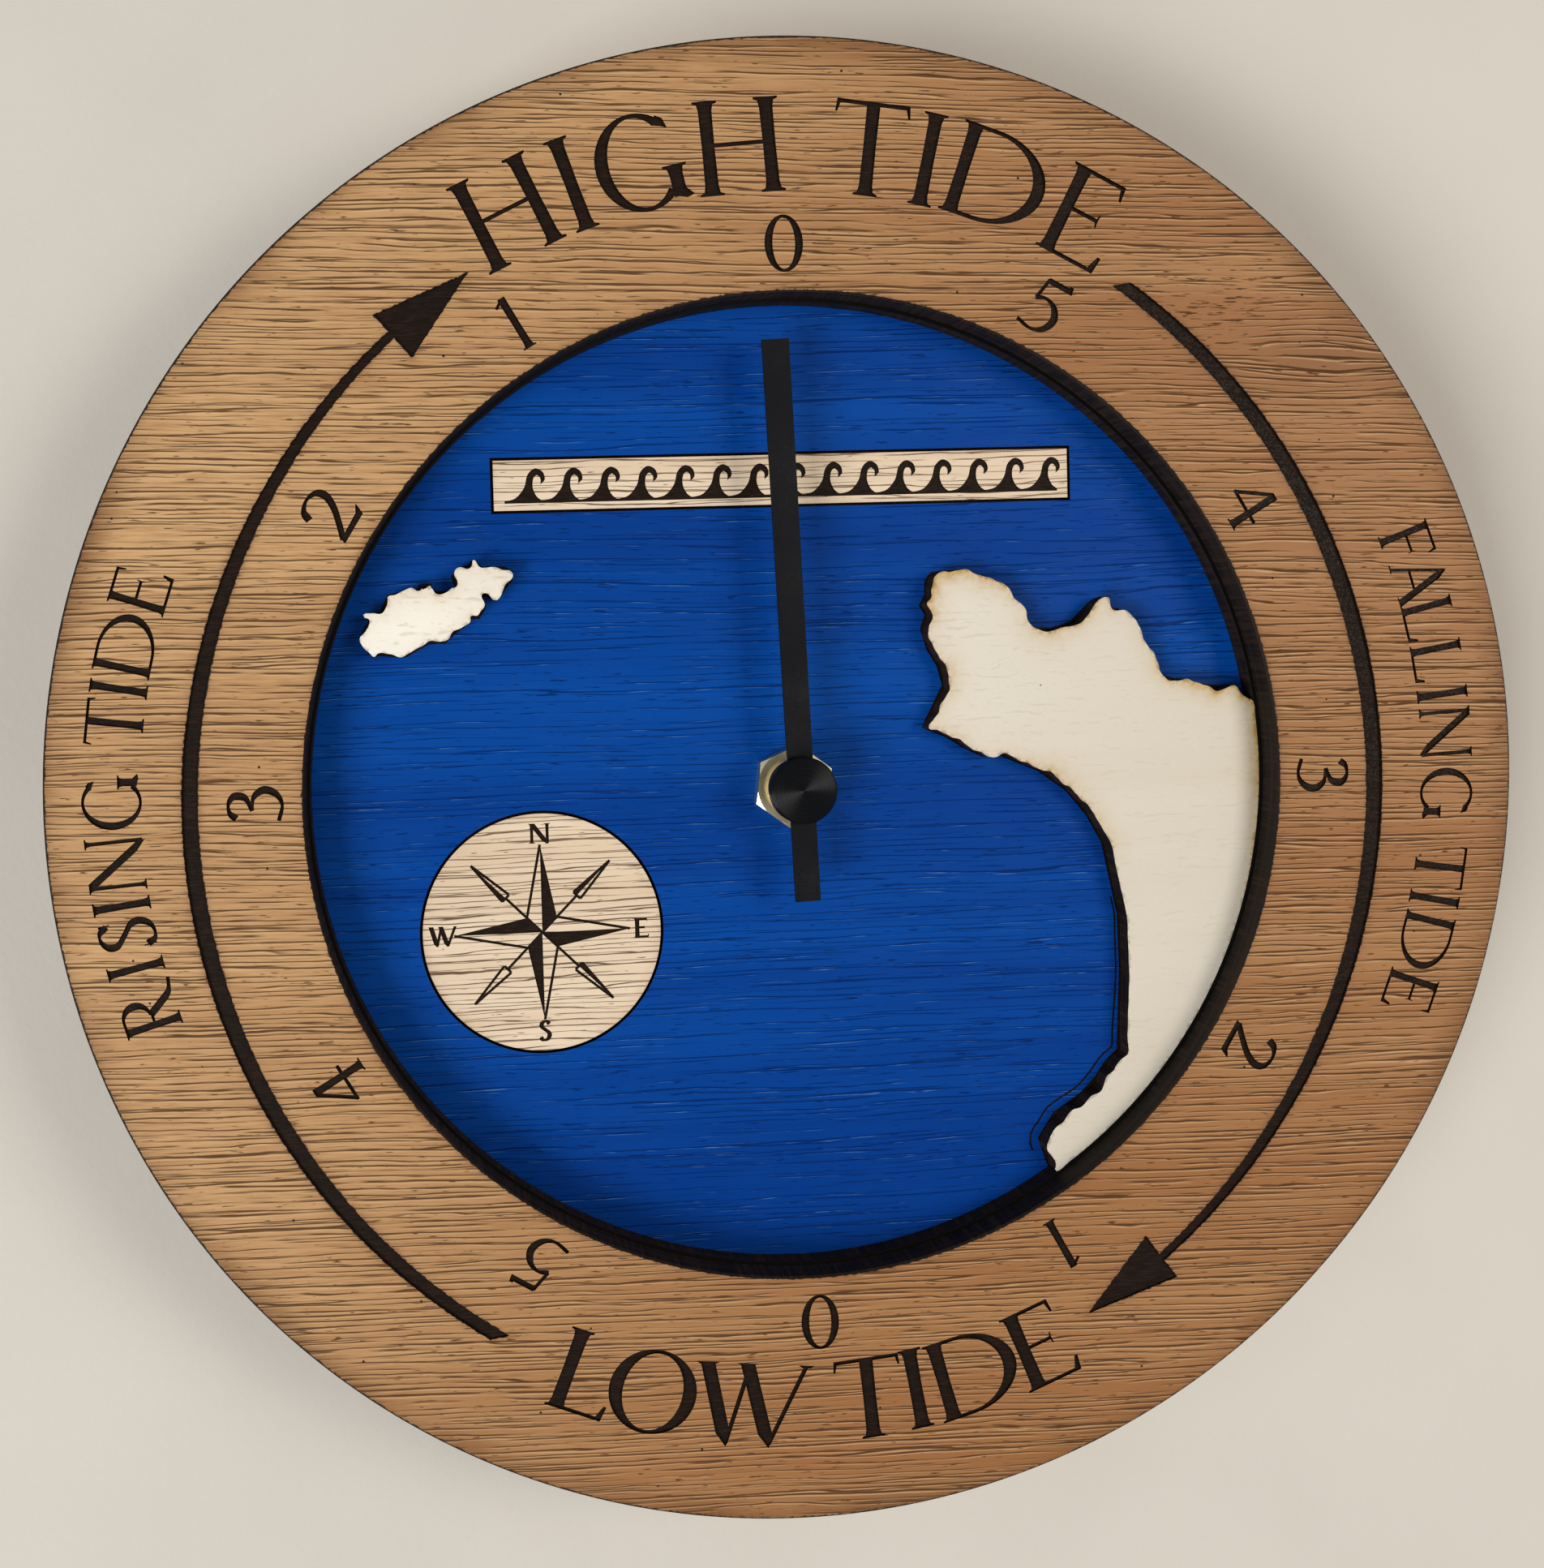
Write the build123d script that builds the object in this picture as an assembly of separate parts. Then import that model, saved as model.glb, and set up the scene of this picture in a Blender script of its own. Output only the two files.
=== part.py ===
"""Tide clock: a laser-cut wooden dial stack clamped round a quartz tide movement.

Modelled with the hand's axis at x = z = 0 and the dial's front face at y = 0, front
towards -Y. Every part is moved once, at export, so that the hanger hole is the origin.
All lengths are in millimetres and all angles in degrees.
"""
import math
import os

from build123d import *

# Wooden stack
RING_R = 150.0
WELL_SHARE = 0.664
WELL_R = RING_R * WELL_SHARE
BEZEL_T = 6.0
SPACER_T = 4.0
SPACER_STEP = 0.6
DIAL_T = 4.0
EDGE_BREAK = 0.4
LAND_GAP = 0.2

# Inlays in the dial
INLAY_T = 2.0
KERF = 0.6
PLATE_W_SHARE = 1.219
PLATE_W = WELL_R * PLATE_W_SHARE
PLATE_H_SHARE = 0.1145
PLATE_H = WELL_R * PLATE_H_SHARE
PLATE_Z_SHARE = 0.6365
PLATE_Z = WELL_R * PLATE_Z_SHARE
COMPASS_R_SHARE = 0.253
COMPASS_R = WELL_R * COMPASS_R_SHARE
COMPASS_X_SHARE = -0.531
COMPASS_X = WELL_R * COMPASS_X_SHARE
COMPASS_Z_SHARE = -0.286
COMPASS_Z = WELL_R * COMPASS_Z_SHARE

# Clamp: bush, nut, washer, hanger
NUT_AF = 15.0
NUT_SET_DEG = 23.0
NUT_T = 3.0
BUSH_R_SHARE = 0.39
BUSH_R = NUT_AF * BUSH_R_SHARE
BUSH_CLEAR = 0.2
BUSH_HOLE_R = BUSH_R + BUSH_CLEAR
BUSH_BORE_R = 2.55
BUSH_FLANGE_LIP = 1.6
BUSH_FLANGE_R = BUSH_R + BUSH_FLANGE_LIP
BUSH_FLANGE_T = 1.0
BUSH_PROUD = 1.4
BUSH_RIM = 1.2
BUSH_MOUTH_R = BUSH_R - BUSH_RIM
BUSH_MOUTH_D = 0.8
NUT_FIT = 0.02
NUT_BORE_R = BUSH_R + NUT_FIT
NUT_CHAMFER_R = 0.95
NUT_CHAMFER_Y = 0.5
WASHER_R = 10.0
WASHER_T = 1.0
HANGER_T = 1.0
HANGER_W = 18.0
HANGER_FOOT_R = 11.0
HANGER_GAP = 0.5
HANGER_HOLE_R = 3.5
HANGER_HOLE_RISE = 9.5
HANGER_WALL_GAP = 1.0

# Movement housing
CASE_W = 56.0
GRID_COUNT = 56
GRID = CASE_W / GRID_COUNT
CASE_DEPTH = 16.6 * GRID
CASE_WALL = 1.4 * GRID
CASE_CORNER_R = 3.0 * GRID
CASE_INNER_R = 1.6 * GRID
COVER_T = 2.0 * GRID
BAY_RIB_Z = -12.0 * GRID
BAY_RIB_T = 1.0 * GRID
BAY_SLOT_W = 0.6 * GRID
BAY_SLOT_Y = 3.4 * GRID
BOSS_R = 2.3 * GRID
BOSS_X = 24.2 * GRID
BOSS_TOP_Z = 24.2 * GRID
BOSS_LOW_Z = -5.0 * GRID
BOSS_CLEAR = 0.2 * GRID
PILOT_R = 1.0 * GRID
PILOT_D = 8.0 * GRID
SCREW_R = 0.98 * GRID
SCREW_L = 7.2 * GRID
SCREW_HEAD_R = 1.7 * GRID
SCREW_HEAD_T = 1.1 * GRID
SCREW_SINK_R = 1.9 * GRID
SCREW_SINK_D = 1.2 * GRID
SCREW_CLEAR_R = 1.1 * GRID
SCREW_SLOT_W = 0.4 * GRID
SCREW_SLOT_D = 0.5 * GRID
POST_R = 1.6 * GRID
POST_XZ = [
    (-21.5 * GRID, -8.5 * GRID),
    (19.0 * GRID, -8.5 * GRID),
    (19.0 * GRID, 17.0 * GRID),
    (-21.5 * GRID, 17.0 * GRID),
]

# Layers of the movement, measured back from the inside of the case's front wall
TIDE_LAYER = (1.6 * GRID, 2.6 * GRID)
TIDE_PINION_LAYER = (1.4 * GRID, 2.8 * GRID)
MINUTE_LAYER = (3.6 * GRID, 4.6 * GRID)
CANNON_LAYER = (3.4 * GRID, 4.8 * GRID)
PLATE_LAYER = (5.4 * GRID, 6.4 * GRID)
CENTRE_LAYER = (7.0 * GRID, 7.8 * GRID)
THIRD_PINION_LAYER = (6.8 * GRID, 8.0 * GRID)
THIRD_LAYER = (8.4 * GRID, 9.2 * GRID)
SECOND_PINION_LAYER = (8.2 * GRID, 9.4 * GRID)
SECOND_LAYER = (9.8 * GRID, 10.6 * GRID)
FIFTH_PINION_LAYER = (9.6 * GRID, 10.8 * GRID)
FIFTH_LAYER = (11.2 * GRID, 12.0 * GRID)
ROTOR_PINION_LAYER = (11.0 * GRID, 12.2 * GRID)
MAGNET_LAYER = (7.2 * GRID, 9.4 * GRID)
STATOR_LAYER = (7.8 * GRID, 8.8 * GRID)
CORE_LAYER = (6.8 * GRID, 7.8 * GRID)
BOARD_LAYER = (9.8 * GRID, 10.8 * GRID)

# Tooth shape, in shares of the module
TOOTH_TIP_SHARE = 0.75
TOOTH_ROOT_SHARE = 1.05
TOOTH_TIP_HALF_SHARE = 0.30
TOOTH_ROOT_HALF_SHARE = 0.80

# Gear train
FINE_MODULE = 0.25 * GRID
ROTOR_MODULE = 0.20 * GRID
TIDE_TEETH = 69
TIDE_PINION_TEETH = 20
MINUTE_TEETH = 36
CANNON_TEETH = 10
SET_TEETH = 12
CENTRE_TEETH = 64
THIRD_TEETH = 60
SECOND_TEETH = 40
FIFTH_TEETH = 48
PINION_TEETH = 8
MINUTE_DEG = 150.0
SET_DEG = 120.0
THIRD_DEG = -10.0
SECOND_DEG = 55.0
FIFTH_DEG = 110.0
ROTOR_DEG = 150.0

# Arbors and their running fits
ARBOR_R = 0.6 * GRID
PIVOT_R = 0.4 * GRID
PIVOT_D = 0.8 * GRID
PIVOT_END_GAP = 0.1
RUN_FIT = 0.03
END_PLAY = 0.05
MINUTE_ARBOR_R = 1.0 * GRID
MINUTE_TIP_R = 0.8 * GRID
MINUTE_TIP_GAP = 0.1
CENTRE_HUB_R = 2.2 * GRID
CENTRE_HUB_T = 0.45 * GRID
TIDE_ARBOR_R = 2.5
TIDE_FLANGE_R = 3.2
TIDE_FLANGE_T = 0.4
SET_ARBOR_R = 1.2 * GRID
SET_KNOB_TEETH = 30
SET_KNOB_MODULE = 0.36 * GRID
SET_KNOB_T = 1.4 * GRID
SET_KNOB_SUNK = 0.3 * GRID
SET_HOLE_R = 6.0 * GRID

# Hand
HAND_TIP_SHARE = 0.9086
HAND_TIP = WELL_R * HAND_TIP_SHARE
HAND_TAIL_SHARE = 0.2285
HAND_TAIL = WELL_R * HAND_TAIL_SHARE
HAND_TIP_HALF = 2.77
HAND_TAIL_HALF = 2.58
HAND_T = 0.6
HAND_BACK_Y = -8.8
HAND_SET_DEG = 2.0
HAND_EYE_R = 5.0
COLLET_R = 4.2
COLLET_L = 2.8
CAP_R = 6.75
CAP_T = 2.6
CAP_EDGE = 0.5
CAP_BORE_D = 1.6
CAP_END_GAP = 0.2

# Motor
MAGNET_R = 3.2 * GRID
STATOR_HOLE_R = 3.7 * GRID
STATOR_PAD_R = 4.6 * GRID
STATOR_X = (-12.5 * GRID, 20.0 * GRID)
STATOR_Z = (13.3 * GRID, 17.3 * GRID)
STATOR_LEG_W = 4.0 * GRID
STATOR_POST_INSET = 2.2 * GRID
STATOR_POST_R = 1.3 * GRID
CORE_Z = (20.5 * GRID, 24.5 * GRID)
BOBBIN_X = (-8.0 * GRID, 15.5 * GRID)
BOBBIN_R = 2.5 * GRID
BOBBIN_FLANGE_R = 3.6 * GRID
BOBBIN_FLANGE_T = 0.8 * GRID
WINDING_R = 3.3 * GRID
TRAIN_PLATE_X = (-23.5 * GRID, 22.5 * GRID)
TRAIN_PLATE_Z = (-10.4 * GRID, 18.4 * GRID)

# Circuit
BOARD_X = (-21.0 * GRID, -9.8 * GRID)
BOARD_Z = (-10.6 * GRID, 11.5 * GRID)
BOARD_POST_R = 1.2 * GRID
BOARD_POST_XZ = [(-18.5 * GRID, 9.5 * GRID), (-12.0 * GRID, -8.0 * GRID)]
CRYSTAL_R = 1.0 * GRID
CRYSTAL_X = -17.0 * GRID
CRYSTAL_Z = (-2.0 * GRID, 4.5 * GRID)
CHIP_X = (-15.5 * GRID, -11.5 * GRID)
CHIP_Z = (-3.5 * GRID, 0.5 * GRID)
CHIP_T = 1.2 * GRID

# Battery and contacts
CELL_R = 7.1 * GRID
CELL_L = 49.2 * GRID
CELL_NUB_R = 2.75 * GRID
CELL_NUB_L = 1.3 * GRID
CELL_Z = -19.3 * GRID
CELL_FRONT_GAP = 0.3 * GRID
CONTACT_T = 0.4 * GRID
CONTACT_Z = (-25.0 * GRID, -13.5 * GRID)
CONTACT_Y = (2.1 * GRID, 12.6 * GRID)
CONTACT_GAP = 0.03
CONTACT_PAD_R = 2.2 * GRID
LEAF_HALF = 4.0 * GRID
LEAF_W = 4.0 * GRID
TAIL_Y = (10.0 * GRID, 11.2 * GRID)
TAIL_Z = (-13.5 * GRID, -9.8 * GRID)
STRIP_Z = (-10.8 * GRID, -9.8 * GRID)
STRIP_LEFT_END = -19.0 * GRID
STRIP_RIGHT_END = -13.0 * GRID

# Coast lines, in shares of the well's radius
MAINLAND_SHARES = [
    (0.309, 0.433), (0.375, 0.436), (0.421, 0.417), (0.452, 0.402), (0.489, 0.358),
    (0.498, 0.327), (0.519, 0.311), (0.562, 0.307), (0.606, 0.320), (0.645, 0.358),
    (0.670, 0.371), (0.683, 0.349), (0.707, 0.345), (0.750, 0.287), (0.770, 0.236),
    (0.782, 0.210), (0.831, 0.191), (0.937, 0.171), (0.984, 0.143), (1.100, 0.120),
    (1.100, -1.100), (0.600, -1.100), (0.543, -0.850), (0.519, -0.774), (0.552, -0.724),
    (0.614, -0.684), (0.645, -0.651), (0.668, -0.618), (0.695, -0.593), (0.703, -0.421),
    (0.700, -0.300), (0.668, -0.144), (0.634, -0.083), (0.591, -0.030), (0.531, 0.014),
    (0.445, 0.051), (0.410, 0.049), (0.367, 0.071), (0.333, 0.093), (0.285, 0.113),
    (0.309, 0.158), (0.330, 0.199), (0.319, 0.241), (0.298, 0.276), (0.286, 0.318),
    (0.296, 0.348), (0.284, 0.368), (0.296, 0.385), (0.297, 0.418),
]
ISLAND_SHARES = [
    (-0.871, 0.379), (-0.862, 0.369), (-0.876, 0.345), (-0.881, 0.327), (-0.859, 0.297),
    (-0.846, 0.301), (-0.794, 0.296), (-0.748, 0.321), (-0.712, 0.323), (-0.693, 0.341),
    (-0.665, 0.360), (-0.659, 0.371), (-0.643, 0.370), (-0.631, 0.388), (-0.635, 0.411),
    (-0.627, 0.416), (-0.606, 0.407), (-0.575, 0.444), (-0.573, 0.460), (-0.587, 0.467),
    (-0.633, 0.467), (-0.649, 0.485), (-0.659, 0.471), (-0.677, 0.470), (-0.691, 0.454),
    (-0.684, 0.432), (-0.697, 0.421), (-0.725, 0.420), (-0.738, 0.427), (-0.739, 0.437),
    (-0.759, 0.436), (-0.765, 0.425), (-0.821, 0.418), (-0.830, 0.404), (-0.838, 0.384),
    (-0.856, 0.378),
]

# Planes along Y that follow from the sizes above
Y_LAND = -SPACER_T
Y_FRONT = -SPACER_T - BEZEL_T
Y_WASHER = DIAL_T + WASHER_T
Y_CASE = Y_WASHER + HANGER_T
Y_IN = Y_CASE + CASE_WALL
Y_COVER = Y_CASE + CASE_DEPTH - COVER_T
Y_WALL = Y_CASE + CASE_DEPTH
Y_TAB = Y_WALL - HANGER_WALL_GAP
CASE_HALF = CASE_W / 2
CASE_IN_HALF = CASE_HALF - CASE_WALL
HANGER_Z = CASE_HALF + HANGER_GAP + HANGER_HOLE_RISE
HANGER_Y = Y_TAB - HANGER_T / 2


def mid(low, high):
    """Middle of two values."""
    return (low + high) / 2


def polar(radius, degrees, centre=(0, 0)):
    """Point at a radius and angle from a centre, x right and z up."""
    turn = math.radians(degrees)
    return (centre[0] + radius * math.cos(turn), centre[1] + radius * math.sin(turn))


def slab(sketch, y_front, y_back):
    """Solid of a sketch, x right and z up, between two planes along Y."""
    plane = Plane(origin=(0, y_back, 0), x_dir=(1, 0, 0), z_dir=(0, -1, 0))
    return extrude(plane * sketch, amount=y_back - y_front)


def disc(radius, y_front, y_back, at=(0, 0)):
    """Round solid along Y."""
    return slab(Pos(at[0], at[1]) * Circle(radius), y_front, y_back)


def block(x_span, z_span, y_span):
    """Box between low and high values on each axis."""
    face = Rectangle(x_span[1] - x_span[0], z_span[1] - z_span[0])
    return slab(Pos(mid(*x_span), mid(*z_span)) * face, y_span[0], y_span[1])


def rod_x(radius, x_span, y, z):
    """Round solid along X."""
    plane = Plane(origin=(x_span[0], y, z), x_dir=(0, 1, 0), z_dir=(1, 0, 0))
    return extrude(plane * Circle(radius), amount=x_span[1] - x_span[0])


def rod_z(radius, z_span, x, y):
    """Round solid along Z."""
    return extrude(Pos(x, y, z_span[0]) * Circle(radius), amount=z_span[1] - z_span[0])


def outline(shares, size):
    """Face from a list of points given as shares of a size."""
    return make_face(Polyline(*[(x * size, z * size) for x, z in shares], close=True))


def inside(layer):
    """Layer of the movement as a span along Y."""
    return (Y_IN + layer[0], Y_IN + layer[1])


def gear(teeth, module, layer, at, phase):
    """Toothed wheel with straight-sided teeth, one of them at the phase angle."""
    pitch_r = teeth * module / 2
    root_r = pitch_r - TOOTH_ROOT_SHARE * module
    tip_r = pitch_r + TOOTH_TIP_SHARE * module
    corners = [
        (root_r, -TOOTH_ROOT_HALF_SHARE),
        (tip_r, -TOOTH_TIP_HALF_SHARE),
        (tip_r, TOOTH_TIP_HALF_SHARE),
        (root_r, TOOTH_ROOT_HALF_SHARE),
    ]
    points = []
    for tooth in range(teeth):
        centre = phase + tooth * 360 / teeth
        for radius, half_share in corners:
            points.append(polar(radius, centre + math.degrees(half_share * module / radius)))
    face = Pos(at[0], at[1]) * make_face(Polyline(*points, close=True))
    return slab(face, *inside(layer))


def mesh_phase(theta, phase_a, teeth_a, teeth_b):
    """Phase that puts gear B in mesh with gear A, B lying at angle theta from A."""
    slip = (theta - phase_a) % (360 / teeth_a)
    return theta + 180 + 180 / teeth_b + slip * teeth_a / teeth_b


def train_arbor(at, pivot_r):
    """Arbor of the going train, between the train plate and the cover."""
    front = Y_IN + PLATE_LAYER[1] + END_PLAY
    back = Y_COVER - END_PLAY
    shaft = disc(ARBOR_R, front, back, at)
    pivots = disc(pivot_r, front - PIVOT_D, back + PIVOT_D - PIVOT_END_GAP, at)
    return shaft + pivots


# Axes of the train, in the plane of the dial
centre_at = (0, 0)
set_module = (TIDE_TEETH + TIDE_PINION_TEETH) * FINE_MODULE / (MINUTE_TEETH + CANNON_TEETH)
minute_at = polar((TIDE_TEETH + TIDE_PINION_TEETH) * FINE_MODULE / 2, MINUTE_DEG)
set_at = polar((MINUTE_TEETH + SET_TEETH) * set_module / 2, SET_DEG, minute_at)
third_at = polar((CENTRE_TEETH + PINION_TEETH) * FINE_MODULE / 2, THIRD_DEG)
second_at = polar((THIRD_TEETH + PINION_TEETH) * FINE_MODULE / 2, SECOND_DEG, third_at)
fifth_at = polar((SECOND_TEETH + PINION_TEETH) * FINE_MODULE / 2, FIFTH_DEG, second_at)
rotor_at = polar((FIFTH_TEETH + PINION_TEETH) * ROTOR_MODULE / 2, ROTOR_DEG, fifth_at)

parts = {}

# Wooden stack
bezel = disc(RING_R, Y_FRONT, Y_LAND) - disc(WELL_R, Y_FRONT, Y_LAND)
parts["bezel_ring"] = chamfer(bezel.edges().group_by(Axis.Y)[0], EDGE_BREAK)

spacer_r = WELL_R - SPACER_STEP
parts["spacer_ring"] = disc(RING_R, Y_LAND, 0) - disc(spacer_r, Y_LAND, 0)

plate_face = Pos(0, PLATE_Z) * Rectangle(PLATE_W, PLATE_H)
dial = disc(RING_R, 0, DIAL_T) - disc(BUSH_HOLE_R, 0, DIAL_T)
dial = dial - slab(plate_face, 0, INLAY_T)
parts["dial_disc"] = dial - disc(COMPASS_R, 0, INLAY_T, (COMPASS_X, COMPASS_Z))

land = slab(outline(MAINLAND_SHARES, WELL_R), Y_LAND, 0)
parts["mainland_piece"] = land & disc(spacer_r - LAND_GAP, Y_LAND, 0)
parts["island_piece"] = slab(outline(ISLAND_SHARES, WELL_R), Y_LAND, 0)

# Inlays
inlay_face = Pos(0, PLATE_Z) * Rectangle(PLATE_W - KERF - KERF, PLATE_H - KERF - KERF)
parts["name_plate"] = slab(inlay_face, 0, INLAY_T)
parts["compass_plate"] = disc(COMPASS_R - KERF, 0, INLAY_T, (COMPASS_X, COMPASS_Z))

# Clamp
hexagon = RegularPolygon(NUT_AF / 2, 6, major_radius=False, rotation=NUT_SET_DEG)
turned = disc(NUT_AF / math.sqrt(3), -NUT_T, 0)
turned = chamfer(turned.edges().group_by(Axis.Y)[0], NUT_CHAMFER_Y, NUT_CHAMFER_R)
parts["hex_nut"] = (slab(hexagon, -NUT_T, 0) & turned) - disc(NUT_BORE_R, -NUT_T, 0)

bush_front = -NUT_T - BUSH_PROUD
bush_back = Y_IN + BUSH_FLANGE_T
bush = disc(BUSH_R, bush_front, bush_back) + disc(BUSH_FLANGE_R, Y_IN, bush_back)
bush = bush - disc(BUSH_BORE_R, bush_front, bush_back)
parts["threaded_bush"] = bush - disc(BUSH_MOUTH_R, bush_front, bush_front + BUSH_MOUTH_D)

parts["rubber_washer"] = disc(WASHER_R, DIAL_T, Y_WASHER) - disc(BUSH_HOLE_R, DIAL_T, Y_WASHER)

hanger_half = HANGER_W / 2
shelf_z = (CASE_HALF + HANGER_GAP, CASE_HALF + HANGER_GAP + HANGER_T)
leg = block((-hanger_half, hanger_half), (0, shelf_z[1]), (Y_WASHER, Y_CASE))
leg = leg + disc(HANGER_FOOT_R, Y_WASHER, Y_CASE)
shelf = block((-hanger_half, hanger_half), shelf_z, (Y_WASHER, Y_TAB))
tab = block((-hanger_half, hanger_half), (shelf_z[0], HANGER_Z), (Y_TAB - HANGER_T, Y_TAB))
tab = tab + disc(hanger_half, Y_TAB - HANGER_T, Y_TAB, (0, HANGER_Z))
hanger = leg + shelf + tab
hanger = hanger - disc(BUSH_HOLE_R, Y_WASHER, Y_CASE)
parts["hanger_bracket"] = hanger - disc(HANGER_HOLE_R, Y_TAB - HANGER_T, Y_TAB, (0, HANGER_Z))

# Movement case: an open-backed tray with a battery bay, posts and screw bosses
boss_xz = [(x, z) for x in (-BOSS_X, BOSS_X) for z in (BOSS_LOW_Z, BOSS_TOP_Z)]
case = slab(RectangleRounded(CASE_W, CASE_W, CASE_CORNER_R), Y_CASE, Y_COVER)
inner_w = CASE_W - CASE_WALL - CASE_WALL
case = case - slab(RectangleRounded(inner_w, inner_w, CASE_INNER_R), Y_IN, Y_COVER)
rib = block((-CASE_IN_HALF, CASE_IN_HALF), (BAY_RIB_Z, BAY_RIB_Z + BAY_RIB_T), (Y_IN, Y_COVER))
slot_y = (Y_COVER - BAY_SLOT_Y, Y_COVER)
for slot_x in ((-CASE_IN_HALF, BAY_SLOT_W - CASE_IN_HALF), (CASE_IN_HALF - BAY_SLOT_W, CASE_IN_HALF)):
    rib = rib - block(slot_x, (BAY_RIB_Z, BAY_RIB_Z + BAY_RIB_T), slot_y)
case = case + rib
for boss_at in boss_xz:
    case = case + disc(BOSS_R, Y_IN, Y_COVER, boss_at)
for post_at in POST_XZ:
    case = case + disc(POST_R, Y_IN, Y_IN + PLATE_LAYER[0], post_at)
case = case & slab(RectangleRounded(CASE_W, CASE_W, CASE_CORNER_R), Y_CASE, Y_COVER)
for boss_at in boss_xz:
    case = case - disc(PILOT_R, Y_COVER - PILOT_D, Y_COVER, boss_at)
case = case - disc(BUSH_HOLE_R, Y_CASE, Y_IN)
for pivot_at in (minute_at, set_at):
    case = case - disc(ARBOR_R + RUN_FIT, Y_IN - PIVOT_D, Y_IN, pivot_at)
parts["movement_case"] = case

# Cover with the battery window, knob hole, screw sinks and blind pivot holes
cover = slab(RectangleRounded(CASE_W, CASE_W, CASE_CORNER_R), Y_COVER, Y_WALL)
cover = cover - block((-CASE_IN_HALF, CASE_IN_HALF), (-CASE_IN_HALF, BAY_RIB_Z), (Y_COVER, Y_WALL))
cover = cover - disc(SET_HOLE_R, Y_COVER, Y_WALL, set_at)
for boss_at in boss_xz:
    cover = cover - disc(SCREW_CLEAR_R, Y_COVER, Y_WALL, boss_at)
    cover = cover - disc(SCREW_SINK_R, Y_WALL - SCREW_SINK_D, Y_WALL, boss_at)
for pivot_at in (centre_at, third_at, second_at, fifth_at, rotor_at):
    cover = cover - disc(PIVOT_R + RUN_FIT, Y_COVER, Y_COVER + PIVOT_D, pivot_at)
parts["movement_cover"] = cover

screws = []
sink_y = Y_WALL - SCREW_SINK_D
for boss_at in boss_xz:
    screw = disc(SCREW_R, sink_y - SCREW_L, sink_y, boss_at)
    screw = screw + disc(SCREW_HEAD_R, sink_y, sink_y + SCREW_HEAD_T, boss_at)
    slot_x = (boss_at[0] - SCREW_HEAD_R, boss_at[0] + SCREW_HEAD_R)
    slot_z = (boss_at[1] - SCREW_SLOT_W / 2, boss_at[1] + SCREW_SLOT_W / 2)
    head_y = sink_y + SCREW_HEAD_T
    screws.append(screw - block(slot_x, slot_z, (head_y - SCREW_SLOT_D, head_y)))
parts["cover_screws"] = Compound(children=screws)

# Train plate with its pivot holes and the posts of the motor and the board
plate_y = inside(PLATE_LAYER)
train_plate = block(TRAIN_PLATE_X, TRAIN_PLATE_Z, plate_y)
post_z = mid(*STATOR_Z)
stator_posts = [(STATOR_X[0] + STATOR_POST_INSET, post_z), (STATOR_X[1] - STATOR_POST_INSET, post_z)]
for post_at in stator_posts:
    train_plate = train_plate + disc(STATOR_POST_R, plate_y[1], Y_IN + STATOR_LAYER[0], post_at)
for post_at in BOARD_POST_XZ:
    train_plate = train_plate + disc(BOARD_POST_R, plate_y[1], Y_IN + BOARD_LAYER[0], post_at)
for pivot_at in (third_at, second_at, fifth_at, rotor_at):
    train_plate = train_plate - disc(PIVOT_R + RUN_FIT, *plate_y, pivot_at)
for boss_at in boss_xz:
    train_plate = train_plate - disc(BOSS_R + BOSS_CLEAR, *plate_y, boss_at)
train_plate = train_plate - disc(MINUTE_ARBOR_R + RUN_FIT, *plate_y, centre_at)
train_plate = train_plate - disc(ARBOR_R + RUN_FIT, *plate_y, minute_at)
train_plate = train_plate - disc(SET_ARBOR_R + RUN_FIT, *plate_y, set_at)
parts["train_plate"] = train_plate

# Set group: tide wheel, minute wheel, cannon pinion, set pinion and knob
tide_phase = 0
minute_pinion_phase = mesh_phase(MINUTE_DEG, tide_phase, TIDE_TEETH, TIDE_PINION_TEETH)
cannon_phase = 0
minute_phase = mesh_phase(MINUTE_DEG, cannon_phase, CANNON_TEETH, MINUTE_TEETH)
set_phase = mesh_phase(SET_DEG, minute_phase, MINUTE_TEETH, SET_TEETH)

tide_y = inside(TIDE_LAYER)
tide_wheel = gear(TIDE_TEETH, FINE_MODULE, TIDE_LAYER, centre_at, tide_phase)
parts["tide_wheel"] = tide_wheel - disc(TIDE_ARBOR_R, *tide_y)

hand_front = HAND_BACK_Y - HAND_T
cap_front = hand_front - CAP_T
arbor_front = hand_front - CAP_BORE_D + CAP_END_GAP
arbor_back = tide_y[1] + TIDE_FLANGE_T
tide_arbor = disc(TIDE_ARBOR_R, arbor_front, arbor_back)
tide_arbor = tide_arbor + disc(TIDE_FLANGE_R, tide_y[1], arbor_back)
tip_bore = disc(MINUTE_TIP_R + RUN_FIT, bush_back, arbor_back)
parts["tide_arbor"] = tide_arbor - tip_bore

minute_wheel = gear(MINUTE_TEETH, set_module, MINUTE_LAYER, minute_at, minute_phase)
minute_wheel = minute_wheel + gear(
    TIDE_PINION_TEETH, FINE_MODULE, TIDE_PINION_LAYER, minute_at, minute_pinion_phase
)
minute_front = Y_IN - PIVOT_D + PIVOT_END_GAP
parts["minute_wheel"] = minute_wheel + disc(ARBOR_R, minute_front, plate_y[1], minute_at)

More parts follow.
